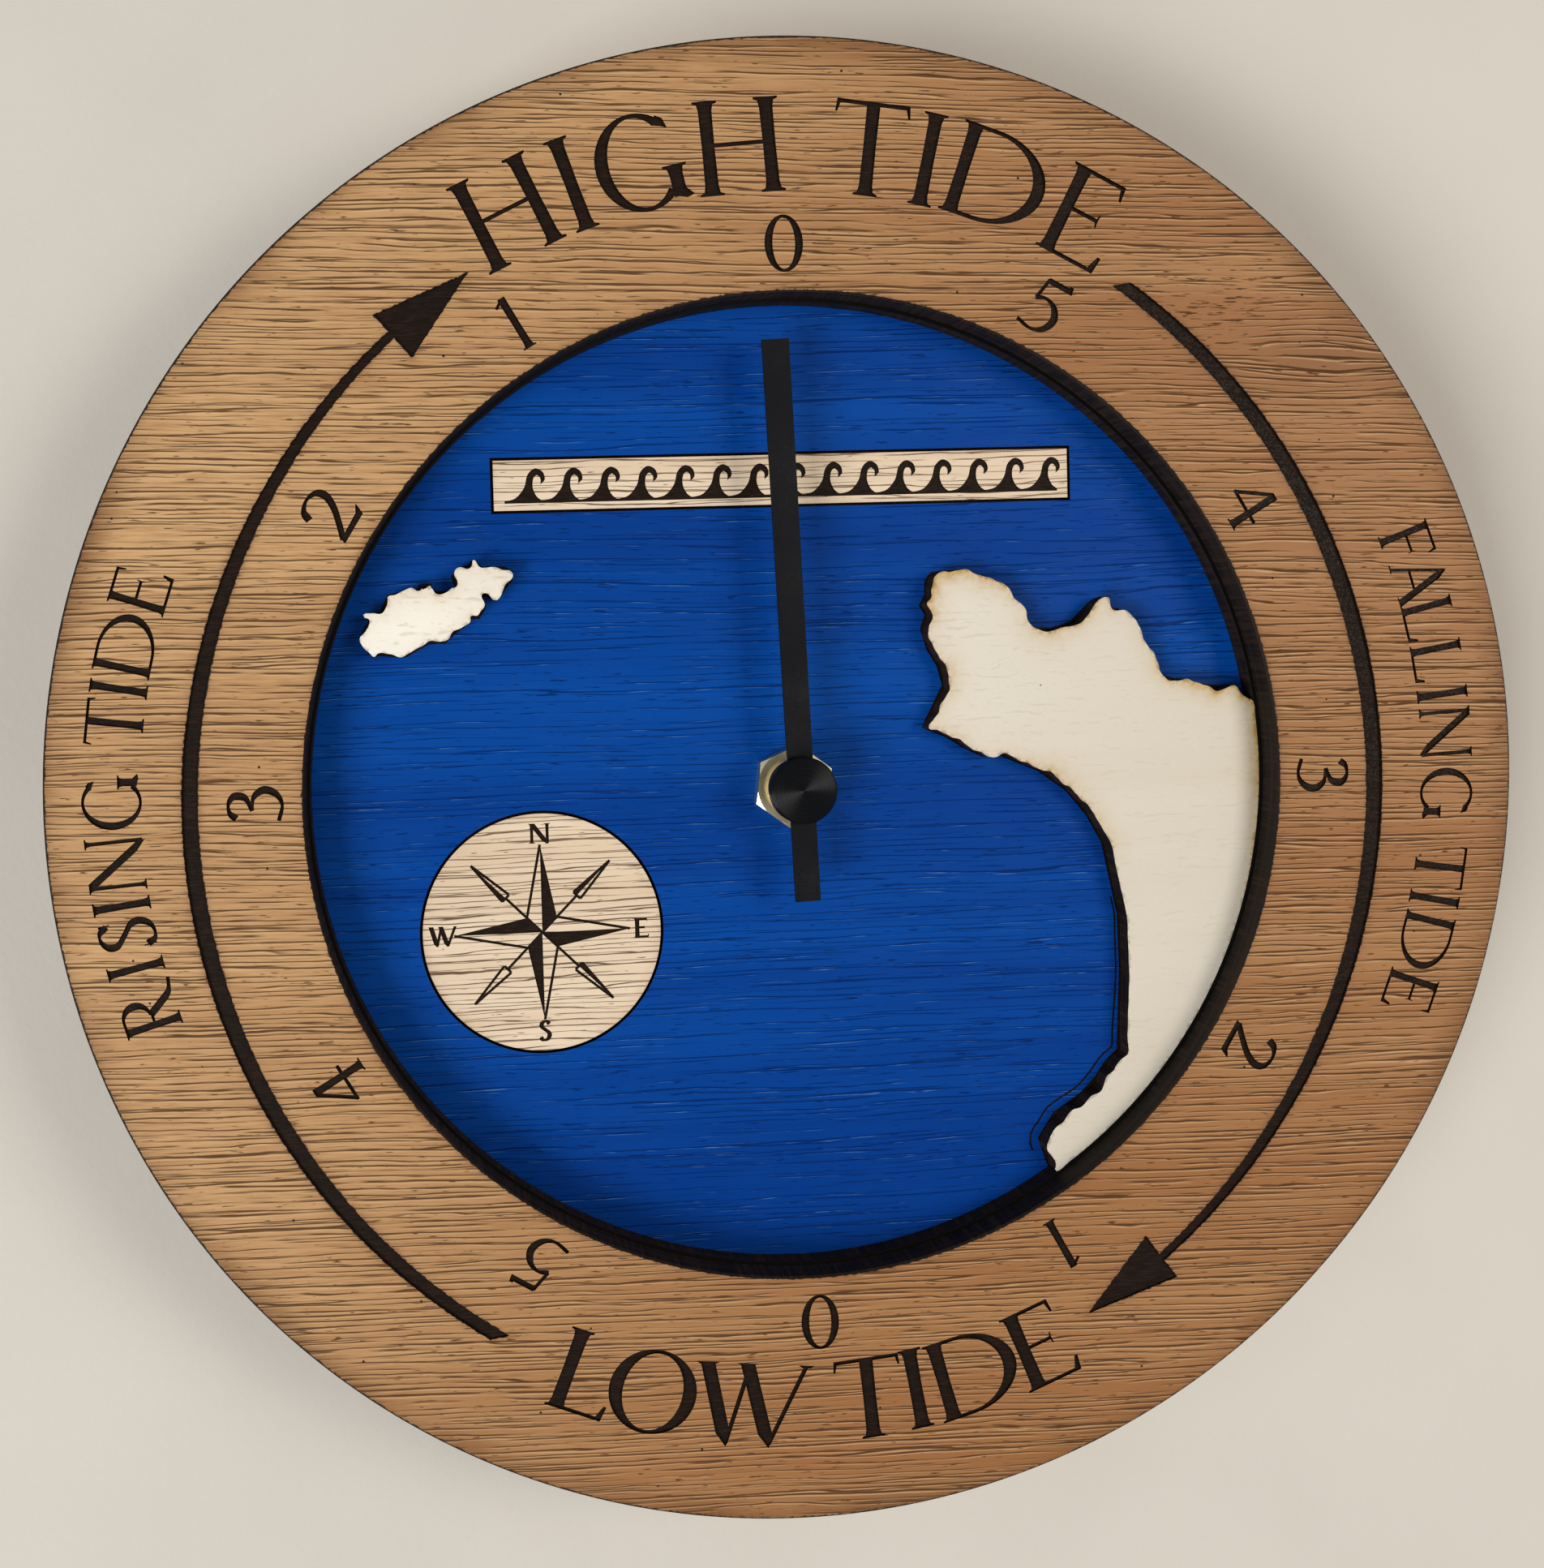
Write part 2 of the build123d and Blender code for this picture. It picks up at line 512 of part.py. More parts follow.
cannon_y = inside(CANNON_LAYER)
minute_arbor = gear(CANNON_TEETH, set_module, CANNON_LAYER, centre_at, cannon_phase)
minute_arbor = minute_arbor + disc(MINUTE_ARBOR_R, cannon_y[0], Y_COVER - END_PLAY)
minute_arbor = minute_arbor + disc(MINUTE_TIP_R, bush_back + MINUTE_TIP_GAP, cannon_y[0])
pivot_end = Y_COVER + PIVOT_D - PIVOT_END_GAP
parts["minute_arbor"] = minute_arbor + disc(PIVOT_R, Y_COVER - PIVOT_D, pivot_end)

knob_y = (Y_WALL - SET_KNOB_SUNK - SET_KNOB_T, Y_WALL - SET_KNOB_SUNK)
knob_layer = (knob_y[0] - Y_IN, knob_y[1] - Y_IN)
set_arbor = gear(SET_TEETH, set_module, CANNON_LAYER, set_at, set_phase)
set_arbor = set_arbor + disc(SET_ARBOR_R, cannon_y[0], knob_y[1], set_at)
parts["set_arbor"] = set_arbor + disc(ARBOR_R, minute_front, cannon_y[0], set_at)
knob = gear(SET_KNOB_TEETH, SET_KNOB_MODULE, knob_layer, set_at, 0)
parts["set_knob"] = knob - disc(SET_ARBOR_R, *knob_y, set_at)

# Going train
centre_phase = mesh_phase(THIRD_DEG + 180, 0, PINION_TEETH, CENTRE_TEETH)
third_phase = mesh_phase(SECOND_DEG + 180, 0, PINION_TEETH, THIRD_TEETH)
second_phase = mesh_phase(FIFTH_DEG + 180, 0, PINION_TEETH, SECOND_TEETH)
fifth_phase = mesh_phase(ROTOR_DEG + 180, 0, PINION_TEETH, FIFTH_TEETH)

centre_y = inside(CENTRE_LAYER)
centre_wheel = gear(CENTRE_TEETH, FINE_MODULE, CENTRE_LAYER, centre_at, centre_phase)
centre_wheel = centre_wheel + disc(CENTRE_HUB_R, centre_y[0] - CENTRE_HUB_T, centre_y[0])
clutch_bore = disc(MINUTE_ARBOR_R + RUN_FIT, centre_y[0] - CENTRE_HUB_T, centre_y[1])
parts["centre_wheel"] = centre_wheel - clutch_bore

going = [
    ("third_wheel", THIRD_TEETH, THIRD_LAYER, THIRD_PINION_LAYER, third_at, third_phase, FINE_MODULE),
    ("second_wheel", SECOND_TEETH, SECOND_LAYER, SECOND_PINION_LAYER, second_at, second_phase, FINE_MODULE),
    ("fifth_wheel", FIFTH_TEETH, FIFTH_LAYER, FIFTH_PINION_LAYER, fifth_at, fifth_phase, ROTOR_MODULE),
]
for node, teeth, layer, pinion_layer, at, phase, module in going:
    wheel = gear(teeth, module, layer, at, phase)
    wheel = wheel + gear(PINION_TEETH, FINE_MODULE, pinion_layer, at, 0)
    parts[node] = wheel + train_arbor(at, PIVOT_R)

rotor = gear(PINION_TEETH, ROTOR_MODULE, ROTOR_PINION_LAYER, rotor_at, 0)
parts["rotor_pinion"] = rotor + train_arbor(rotor_at, PIVOT_R)
magnet_y = inside(MAGNET_LAYER)
parts["rotor_magnet"] = disc(MAGNET_R, *magnet_y, rotor_at) - disc(ARBOR_R, *magnet_y, rotor_at)

# Motor
stator_y = inside(STATOR_LAYER)
stator = block(STATOR_X, STATOR_Z, stator_y) + disc(STATOR_PAD_R, *stator_y, rotor_at)
leg_z = (STATOR_Z[0], CORE_Z[1])
left_leg = (STATOR_X[0], STATOR_X[0] + STATOR_LEG_W)
right_leg = (STATOR_X[1] - STATOR_LEG_W, STATOR_X[1])
for leg_x in (left_leg, right_leg):
    stator = stator + block(leg_x, leg_z, stator_y)
parts["stator_plate"] = stator - disc(STATOR_HOLE_R, *stator_y, rotor_at)

core_y = inside(CORE_LAYER)
core = block(STATOR_X, CORE_Z, core_y)
parts["coil_core"] = core
axis_y = mid(*core_y)
axis_z = mid(*CORE_Z)
flange_left = (BOBBIN_X[0], BOBBIN_X[0] + BOBBIN_FLANGE_T)
flange_right = (BOBBIN_X[1] - BOBBIN_FLANGE_T, BOBBIN_X[1])
bobbin = rod_x(BOBBIN_R, BOBBIN_X, axis_y, axis_z)
for flange_x in (flange_left, flange_right):
    bobbin = bobbin + rod_x(BOBBIN_FLANGE_R, flange_x, axis_y, axis_z)
parts["coil_bobbin"] = bobbin - core
winding_x = (flange_left[1], flange_right[0])
winding = rod_x(WINDING_R, winding_x, axis_y, axis_z)
parts["coil_winding"] = winding - rod_x(BOBBIN_R, winding_x, axis_y, axis_z)

# Circuit
board_y = inside(BOARD_LAYER)
parts["circuit_board"] = block(BOARD_X, BOARD_Z, board_y)
parts["quartz_crystal"] = rod_z(CRYSTAL_R, CRYSTAL_Z, CRYSTAL_X, board_y[0] - CRYSTAL_R)
parts["driver_chip"] = block(CHIP_X, CHIP_Z, (board_y[0] - CHIP_T, board_y[0]))

# Battery and its contacts
cell_y = Y_IN + CELL_FRONT_GAP + CELL_R
cell_end = (CELL_L + CELL_NUB_L) / 2
cell = rod_x(CELL_R, (-cell_end, cell_end - CELL_NUB_L), cell_y, CELL_Z)
parts["battery_cell"] = cell + rod_x(CELL_NUB_R, (cell_end - CELL_NUB_L, cell_end), cell_y, CELL_Z)

contact_y = inside(CONTACT_Y)
tail_y = inside(TAIL_Y)
strip_y = (board_y[1], board_y[1] + CONTACT_T)
right_x = (CASE_IN_HALF - CONTACT_T, CASE_IN_HALF)
positive = block(right_x, CONTACT_Z, contact_y)
positive = positive + rod_x(CONTACT_PAD_R, (cell_end + CONTACT_GAP, right_x[0]), cell_y, CELL_Z)
positive = positive + block(right_x, TAIL_Z, tail_y)
parts["positive_contact"] = positive + block((STRIP_RIGHT_END, right_x[1]), STRIP_Z, strip_y)

left_x = (-CASE_IN_HALF, CONTACT_T - CASE_IN_HALF)
leaf_x = -cell_end - CONTACT_GAP
leaf_points = [
    (left_x[1], CELL_Z - LEAF_HALF),
    (leaf_x, CELL_Z),
    (left_x[1], CELL_Z + LEAF_HALF),
    (left_x[0], CELL_Z + LEAF_HALF),
    (left_x[0], CELL_Z - LEAF_HALF),
]
leaf = make_face(Polyline(*leaf_points, close=True))
negative = block(left_x, CONTACT_Z, contact_y)
negative = negative + slab(leaf, cell_y - LEAF_W / 2, cell_y + LEAF_W / 2)
negative = negative + block(left_x, TAIL_Z, tail_y)
parts["negative_contact"] = negative + block((left_x[0], STRIP_LEFT_END), STRIP_Z, strip_y)

# Hand, its collet and its turned cap
blade_points = [
    (-HAND_TIP_HALF, HAND_TIP),
    (HAND_TIP_HALF, HAND_TIP),
    (HAND_TAIL_HALF, -HAND_TAIL),
    (-HAND_TAIL_HALF, -HAND_TAIL),
]
blade = make_face(Polyline(*blade_points, close=True)) + Circle(HAND_EYE_R)
hand = slab(Rot(0, 0, HAND_SET_DEG) * blade, hand_front, HAND_BACK_Y)
parts["tide_hand"] = hand - disc(TIDE_ARBOR_R, hand_front, HAND_BACK_Y)
collet_back = HAND_BACK_Y + COLLET_L
collet = disc(COLLET_R, HAND_BACK_Y, collet_back) - disc(TIDE_ARBOR_R, HAND_BACK_Y, collet_back)
parts["hand_collet"] = collet
cap = disc(CAP_R, cap_front, hand_front)
cap = chamfer(cap.edges().group_by(Axis.Y)[0], CAP_EDGE)
parts["hand_cap"] = cap - disc(TIDE_ARBOR_R, hand_front - CAP_BORE_D, hand_front)

# Every part is moved once so that the hanger hole is the origin
os.makedirs("parts", exist_ok=True)
for node, shape in parts.items():
    export_step(Pos(0, -HANGER_Y, -HANGER_Z) * shape, "parts/" + node + ".step")
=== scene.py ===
"""Looks of a tide clock: an engraved ring over a painted dial, land pieces, one hand and a quartz movement.

Objects are in metres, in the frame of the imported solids, and so are the sizes of the finishes, the movement
and the stage. Other sizes are in millimetres, from the middle of the dial's front face: x to the viewer's
right, y towards the wall, z up. Angles on the ring are in degrees, clockwise from the top.
"""

import functools
import logging
import math
from dataclasses import dataclass, field
from enum import Enum, IntEnum
from typing import Any, Callable, Sequence

import bpy
import numpy as np
from mathutils import Matrix, Vector, geometry, kdtree

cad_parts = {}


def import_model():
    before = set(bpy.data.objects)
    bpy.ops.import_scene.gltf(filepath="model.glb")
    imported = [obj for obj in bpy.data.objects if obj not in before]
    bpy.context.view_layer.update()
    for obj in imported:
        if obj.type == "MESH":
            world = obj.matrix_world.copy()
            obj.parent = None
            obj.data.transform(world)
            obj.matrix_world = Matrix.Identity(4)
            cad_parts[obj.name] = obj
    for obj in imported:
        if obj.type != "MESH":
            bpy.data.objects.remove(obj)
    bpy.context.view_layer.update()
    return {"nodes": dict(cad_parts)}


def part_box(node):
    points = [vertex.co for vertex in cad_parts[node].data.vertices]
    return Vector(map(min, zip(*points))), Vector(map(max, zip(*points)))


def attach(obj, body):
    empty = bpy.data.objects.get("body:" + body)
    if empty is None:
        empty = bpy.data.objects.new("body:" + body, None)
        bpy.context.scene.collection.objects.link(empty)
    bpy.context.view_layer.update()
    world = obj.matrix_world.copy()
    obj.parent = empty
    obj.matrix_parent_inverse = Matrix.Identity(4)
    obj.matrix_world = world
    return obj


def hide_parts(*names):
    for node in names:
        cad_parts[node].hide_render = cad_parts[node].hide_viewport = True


LOG = logging.getLogger("tide_clock")
MM = 0.001
TINY = 1e-9
ORIGIN = (0.0, 0.0, 0.0)
Pair = tuple[float, float]
Triple = tuple[float, float, float]
Colour = Triple
Loop = np.ndarray
Mark = tuple[Loop, float]
Edge = tuple[int, int]
Object = bpy.types.Object
Material = bpy.types.Material


class Body(str, Enum):
    """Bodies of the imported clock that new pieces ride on."""

    CLOCK = "clock"


class Zone(IntEnum):
    """Material slots of an engraved board."""

    FACE = 0
    EDGE = 1
    MARK = 2
    BACK = 3


# Node graphs


class Value:
    """One output of a node, with plain arithmetic that adds Math nodes."""

    def __init__(self, graph: "Graph", socket: bpy.types.NodeSocket) -> None:
        """Keep the socket and its graph."""
        self.graph = graph
        self.socket = socket

    def __add__(self, other: Any) -> "Value":
        """Return the sum."""
        return self.graph.math("ADD", self, other)

    def __sub__(self, other: Any) -> "Value":
        """Return the difference."""
        return self.graph.math("SUBTRACT", self, other)

    def __rsub__(self, other: float) -> "Value":
        """Return a number less this value."""
        return self.graph.math("SUBTRACT", other, self)

    def __mul__(self, other: Any) -> "Value":
        """Return the product."""
        return self.graph.math("MULTIPLY", self, other)

    def __truediv__(self, other: Any) -> "Value":
        """Return the quotient."""
        return self.graph.math("DIVIDE", self, other)

    def __abs__(self) -> "Value":
        """Return the value without its sign."""
        return self.graph.math("ABSOLUTE", self)


Values = dict[str, Value]


class Graph:
    """A short way to add nodes to one tree and join them."""

    def __init__(self, tree: bpy.types.NodeTree) -> None:
        """Keep the tree that nodes are added to."""
        self.tree = tree

    def feed(self, socket: bpy.types.NodeSocket, value: Any) -> None:
        """Link an input to a value of the tree, or set it.

        Args:
            socket: The input.
            value: A value of the tree, or a plain number, vector, colour or material.
        """
        if isinstance(value, Value):
            self.tree.links.new(value.socket, socket)
        elif socket.type == "RGBA":
            socket.default_value = (*value, 1.0)
        else:
            socket.default_value = value

    def node(self, kind: str, inputs: dict[Any, Any] | None = None, **settings: Any) -> bpy.types.Node:
        """Add a node.

        Args:
            kind: Blender's node type.
            inputs: What its inputs get, by name or number.
            settings: Properties of the node.

        Returns:
            The new node.
        """
        made = self.tree.nodes.new(kind)
        for key, value in settings.items():
            setattr(made, key, value)
        for key, value in (inputs or {}).items():
            self.feed(made.inputs[key], value)
        return made

    def out(self, kind: str, inputs: dict[Any, Any] | None = None, output: Any = 0, **settings: Any) -> Value:
        """Add a node and return one of its outputs, by name or number."""
        return Value(self, self.node(kind, inputs, **settings).outputs[output])

    def math(self, operation: str, a: Any, b: Any = 0.0, clamp: bool = False) -> Value:
        """Return the result of a Math node."""
        return self.out("ShaderNodeMath", {0: a, 1: b}, operation=operation, use_clamp=clamp)

    def most(self, *values: Value) -> Value:
        """Return the largest of some values."""
        return functools.reduce(lambda a, b: self.math("MAXIMUM", a, b), values)

    def split(self, vector: Value) -> list[Value]:
        """Return the X, Y and Z of a vector."""
        return [Value(self, socket) for socket in self.node("ShaderNodeSeparateXYZ", {0: vector}).outputs]

    def join(self, x: Any, y: Any, z: Any) -> Value:
        """Return a vector of three values."""
        return self.out("ShaderNodeCombineXYZ", {0: x, 1: y, 2: z})

    def scaled(self, vector: Value, by: Triple) -> Value:
        """Return a vector with each of its values scaled."""
        return self.out("ShaderNodeVectorMath", {0: vector, 1: by}, "Vector", operation="MULTIPLY")

    def away(self, place: Value, centre: Triple) -> list[Value]:
        """Return how far a place is from a centre along X, Y and Z."""
        off = self.out("ShaderNodeVectorMath", {0: place, 1: centre}, "Vector", operation="SUBTRACT")
        return self.split(off)

    def radius(self, place: Value, centre: Triple, stretch: float = 1.0) -> Value:
        """Return the distance from a centre as seen from the front.

        Args:
            place: Coordinates.
            centre: The point that it is measured from.
            stretch: What heights count for, against widths.

        Returns:
            The distance.
        """
        x, _, z = self.away(place, centre)
        flat = self.join(x, 0.0, z * stretch)
        return self.out("ShaderNodeVectorMath", {0: flat}, "Value", operation="LENGTH")

    def coats(self, base: Any, *coats: tuple[Any, Colour]) -> Any:
        """Return a base colour under coats of other colours.

        Args:
            base: The colour below.
            coats: How far each coat covers what is under it, and its colour.

        Returns:
            The colour that shows.
        """
        for cover, colour in coats:
            base = self.out("ShaderNodeMix", {0: cover, 6: base, 7: colour}, 2, data_type="RGBA")
        return base

    def span(self, value: Value, low: float, high: float, to_low: float = 0.0, to_high: float = 1.0) -> Value:
        """Return a value mapped from one span to another, held inside it, with a smooth step."""
        keys = {"Value": value, "From Min": low, "From Max": high, "To Min": to_low, "To Max": to_high}
        return self.out("ShaderNodeMapRange", keys, interpolation_type="SMOOTHSTEP")

    def noise(self, vector: Value, scale: float = 1.0, detail: float = 3.0, rough: float = 0.5) -> Value:
        """Return the value of a Noise Texture."""
        keys = {"Vector": vector, "Scale": scale, "Detail": detail, "Roughness": rough}
        return self.out("ShaderNodeTexNoise", keys)

    def pinholes(self, vector: Value, scale: float, edge: Pair) -> Value:
        """Return a mask of small scattered dots."""
        near = self.out("ShaderNodeTexVoronoi", {"Vector": vector, "Scale": scale}, "Distance")
        return self.span(near, *edge)

    def bump(self, height: Value, strength: float, distance: float) -> Value:
        """Return the normal of a Bump node."""
        return self.out("ShaderNodeBump", {"Height": height, "Strength": strength, "Distance": distance})

    def place(self) -> Value:
        """Return object coordinates, in metres."""
        return self.out("ShaderNodeTexCoord", output="Object")


class Effect:
    """A shader node group that several finishes share, made once."""

    def __init__(self, name: str, fill: Callable[[Graph, Values], Values], **inputs: float) -> None:
        """Make the group.

        Args:
            name: Name of the group.
            fill: Function that adds the nodes and returns a value for each output.
            inputs: Starting value of each input beside the coordinates.
        """
        self.tree = bpy.data.node_groups.new(name, "ShaderNodeTree")
        sockets = self.tree.interface
        sockets.new_socket("Vector", in_out="INPUT", socket_type="NodeSocketVector")
        for label, value in inputs.items():
            sockets.new_socket(label, in_out="INPUT", socket_type="NodeSocketFloat").default_value = value
        g = Graph(self.tree)
        start = g.node("NodeGroupInput").outputs
        made = fill(g, {label: Value(g, start[label]) for label in ("Vector", *inputs)})
        for label in made:
            sockets.new_socket(label, in_out="OUTPUT", socket_type="NodeSocketFloat")
        g.node("NodeGroupOutput", made)

    def use(self, g: Graph, place: Value, **inputs: Any) -> Values:
        """Place the group in a material and return its outputs."""
        made = g.node("ShaderNodeGroup", {}, node_tree=self.tree)
        for label, value in {"Vector": place, **inputs}.items():
            g.feed(made.inputs[label], value)
        return {socket.name: Value(g, socket) for socket in made.outputs}


@dataclass(frozen=True)
class OpenGrain:
    """Open-pored grain along X: thin broken grooves in uneven rows, short pores, soft figure and fine fibres.

    Scales are pairs, along the grain and across it. The second row of grooves has its own pitch and draws.
    """

    sway: Pair = (9.0, 22.0)
    layer: float = 300.0
    drift: Pair = (0.7, 260.0)
    drift_rows: float = 1.6
    row_off: Pair = (0.5, 0.25)
    row_width: Pair = (-0.75, 1.45)
    run: Pair = (60.0, 3.7)
    run_edge: Pair = (0.42, 0.58)
    line_edge: Pair = (0.00024, 0.00008)
    lip_off: float = 0.00034
    lip_edge: Pair = (0.00020, 0.00004)
    second_row: Pair = (1.65, 31.7)
    dash: Pair = (5.5, 2400.0)
    dash_edge: Pair = (0.66, 0.74)
    figure: Pair = (3.0, 60.0)
    fibre: Pair = (130.0, 2700.0)
    fibre_height: float = 0.3
    lip_height: float = 0.35

    def fill(self, g: Graph, given: Values) -> Values:
        """Add the grain's nodes.

        Args:
            g: The group's graph.
            given: The group's inputs.

        Returns:
            The group's outputs.
        """
        x, y, z = g.split(given["Vector"])
        seed = given["Seed"]
        sway = g.noise(g.join(x * self.sway[0], seed, z * self.sway[1]), detail=2.0)
        across = (sway - 0.5) * given["Sway"] + z + x * given["Slope"]
        layer = y * self.layer + seed
        along = x * given["Along"]

        def streaks(run: Value, scale: Pair, detail: float, rough: float = 0.5, shift: float = 0.0) -> Value:
            """Return noise that is drawn out along the grain."""
            at = g.join(run * scale[0], layer + shift, across * scale[1])
            return g.noise(at, detail=detail, rough=rough)

        def grooves(share: float, shift: float) -> tuple[Value, Value]:
            """Return one broken groove to a row, and the raised lips beside the grooves."""
            pitch = given["Pitch"] * share
            rows = streaks(along, self.drift, 3.0, shift=shift) * self.drift_rows + across / pitch
            row = g.math("FLOOR", rows)
            own = {"W": row + seed + shift}
            chance = g.out("ShaderNodeTexWhiteNoise", own, "Value", noise_dimensions="1D")
            off = rows - row - (chance * self.row_off[0] + self.row_off[1])
            off = off * pitch * (chance * self.row_width[0] + self.row_width[1]) / given["Width"]
            at = g.join(chance * self.run[0] + along, row * self.run[1], layer)
            drawn = g.span(g.noise(at, detail=2.5, rough=0.6) + given["Cover"], *self.run_edge)
            line = g.span(abs(off), *self.line_edge) * drawn
            return line, g.span(abs(off + self.lip_off), *self.lip_edge) * drawn

        line_a, lip_a = grooves(1.0, 0.0)
        line_b, lip_b = grooves(*self.second_row)
        dashes = g.span(streaks(along, self.dash, 2.0) + given["Short"], *self.dash_edge)
        pores = g.most(line_a, line_b, dashes)
        lip = g.most(lip_a, lip_b) * (1.0 - pores)
        fibre = streaks(x, self.fibre, 3.0, 0.6)
        height = fibre * self.fibre_height + lip * self.lip_height - pores
        figure = streaks(x, self.figure, 4.0, 0.6)
        return {"Pores": pores, "Lip": lip, "Figure": figure, "Fibre": fibre, "Height": height}


def fill_scorch(g: Graph, given: Values) -> Values:
    """Add the nodes of an uneven burn beside a cut, from the piece's own burn attribute.

    Args:
        g: The group's graph.
        given: The group's inputs.

    Returns:
        The group's outputs.
    """
    burn = g.out("ShaderNodeAttribute", output="Fac", attribute_name="burn")
    patch = g.noise(given["Vector"], 45.0, 2.0)
    ragged = g.noise(given["Vector"], 900.0)
    near = burn * g.span(ragged, 0.25, 0.7, 0.6, 1.15)
    return {"Toast": near * g.span(patch, 0.35, 0.7, 0.25, 1.0), "Char": g.span(near, 0.72, 0.98)}


def fill_handling(g: Graph, given: Values) -> Values:
    """Add the nodes of faint smears and fine speckle that vary a surface's gloss.

    Args:
        g: The group's graph.
        given: The group's inputs.

    Returns:
        The group's outputs.
    """
    smear = g.noise(given["Vector"], 60.0, 4.0, 0.6)
    speck = g.noise(given["Vector"], 2600.0, 2.0)
    return {"Smear": (speck - 0.5) * given["Speck"] + smear, "Speck": speck}


class Effects:
    """The shared effects of this clock's finishes."""

    def __init__(self) -> None:
        """Make each group once."""
        self.grain = Effect("open_grain", OpenGrain().fill, Along=48.0, Pitch=0.00125, Cover=0.0, Short=0.0,
                            Sway=0.004, Width=1.0, Slope=0.0, Seed=0.0)
        self.scorch = Effect("scorch", fill_scorch)
        self.handling = Effect("handling", fill_handling, Speck=0.2)


# Finishes


@dataclass(frozen=True)
class Finish:
    """A named surface finish that becomes one material."""

    name: str

    def make(self, effects: Effects) -> Material:
        """Make the material.

        Args:
            effects: The shared node groups.

        Returns:
            The finished material.
        """
        material = bpy.data.materials.new(self.name)
        material.use_nodes = True
        material.node_tree.nodes.clear()
        g = Graph(material.node_tree)
        g.node("ShaderNodeOutputMaterial", {"Surface": self.shader(g, effects)})
        return material

    def shader(self, g: Graph, effects: Effects) -> Value:
        """Return the finish's shader."""
        return g.out("ShaderNodeBsdfPrincipled", self.dress(g, effects))

    def dress(self, g: Graph, effects: Effects) -> dict[str, Any]:
        """Return what the shader's inputs get."""
        raise NotImplementedError


def look(tone: Value, rough: Any, normal: Value, specular: float = 0.5, **more: Any) -> dict[str, Any]:
    """Return a shader's usual inputs under Blender's names for them."""
    return {"Base Color": tone, "Roughness": rough, "Normal": normal, "Specular IOR Level": specular, **more}


@dataclass(frozen=True)
class OiledOak(Finish):
    """Oak veneer with open pores, painted highlights on their lips, a knot, a patch of flecks, painted shade
    to the right, pinholes and burnt edges.
    """

    pale: Colour = (0.60, 0.375, 0.182)
    brown: Colour = (0.30, 0.132, 0.048)
    pore: Colour = (0.056, 0.022, 0.007)
    # painted highlight: pale colour of the lips beside the pores
    lip: Colour = (0.72, 0.50, 0.28)
    toast: Colour = (0.13, 0.052, 0.018)
    char: Colour = (0.02, 0.011, 0.007)
    stain: Colour = (0.17, 0.070, 0.024)
    knot: Triple = (0.1104, 0.0, 0.0470)
    knot_reach: Pair = (0.017, 0.0062)
    knot_bend: float = -0.55
    knot_fade: float = 2.718
    flecks: Triple = (0.0861, 0.0, 0.0579)
    fleck_edge: Pair = (0.020, 0.004)
    fleck_stretch: float = 1.6
    fleck_cover: Pair = (-0.18, 0.045)
    fleck_short: float = 0.085
    centre: Triple = (0.0, 0.0, -0.038)
    # painted shade: how the ring browns towards the right and a little towards the bottom
    rim: Pair = (0.1425, 0.1502)
    shade_lean: float = -0.25
    side: Pair = (-0.15, 0.07)
    hole_scale: float = 140.0
    hole_edge: Pair = (0.046, 0.03)

    def around_knot(self, g: Graph, place: Value) -> tuple[Value, Value]:
        """Bend the grain round the knot.

        Args:
            g: The material's graph.
            place: Coordinates.

        Returns:
            Coordinates whose grain flows round the knot, and the knot's mask.
        """
        x, _, z = g.away(place, self.knot)
        wide, tall = x / self.knot_reach[0], z / self.knot_reach[1]
        mask = g.math("POWER", self.knot_fade, (wide * wide + tall * tall) * -1.0)
        x, y, z = g.split(place)
        return g.join(x, y, z + tall * mask * (self.knot_reach[1] * self.knot_bend)), mask

    def dress(self, g: Graph, effects: Effects) -> dict[str, Any]:
        """Lay dark pores with painted highlights on their lips over the figure's tone, and scorch beside the
        cuts.
        """
        place = g.place()
        flowing, knot = self.around_knot(g, place)
        patch = g.span(g.radius(place, self.flecks, self.fleck_stretch), *self.fleck_edge)
        cover = patch * self.fleck_cover[0] + self.fleck_cover[1]
        short = patch * self.fleck_short
        grain = effects.grain.use(g, flowing, Cover=cover, Short=short, Slope=0.02, Seed=3.7, Width=0.82,
                                  Pitch=0.00115)
        scorch = effects.scorch.use(g, place)
        x, _, z = g.split(place)
        # painted shade: browner towards the right and a little towards the bottom
        side = g.span(z * self.shade_lean + x, *self.side)
        rim = g.span(g.radius(place, self.centre), *self.rim)
        tone = g.coats(
            self.pale,
            # the figure's own tone plus the painted shade on the right
            (g.span(grain["Figure"], 0.32, 0.7) * 0.3 + side * 0.77, self.brown),
            (g.span(grain["Fibre"], 0.35, 0.72) * 0.5, self.brown),
            (knot * 0.34, self.toast),
            (rim * g.span(g.noise(place, 32.0), 0.35, 0.65, 0.15, 0.75), self.stain),
            # painted highlight on the raised lips beside the pores
            (grain["Lip"] * 0.35, self.lip),
            (grain["Pores"] * 0.9, self.pore),
            (g.pinholes(place, self.hole_scale, self.hole_edge), self.char),
            (scorch["Toast"] * 0.75, self.toast),
            (scorch["Char"], self.char),
        )
        rough = g.span(grain["Pores"], 0.0, 1.0, 0.48, 0.8)
        return look(tone, rough, g.bump(grain["Height"], 0.4, 0.0002), 0.22)


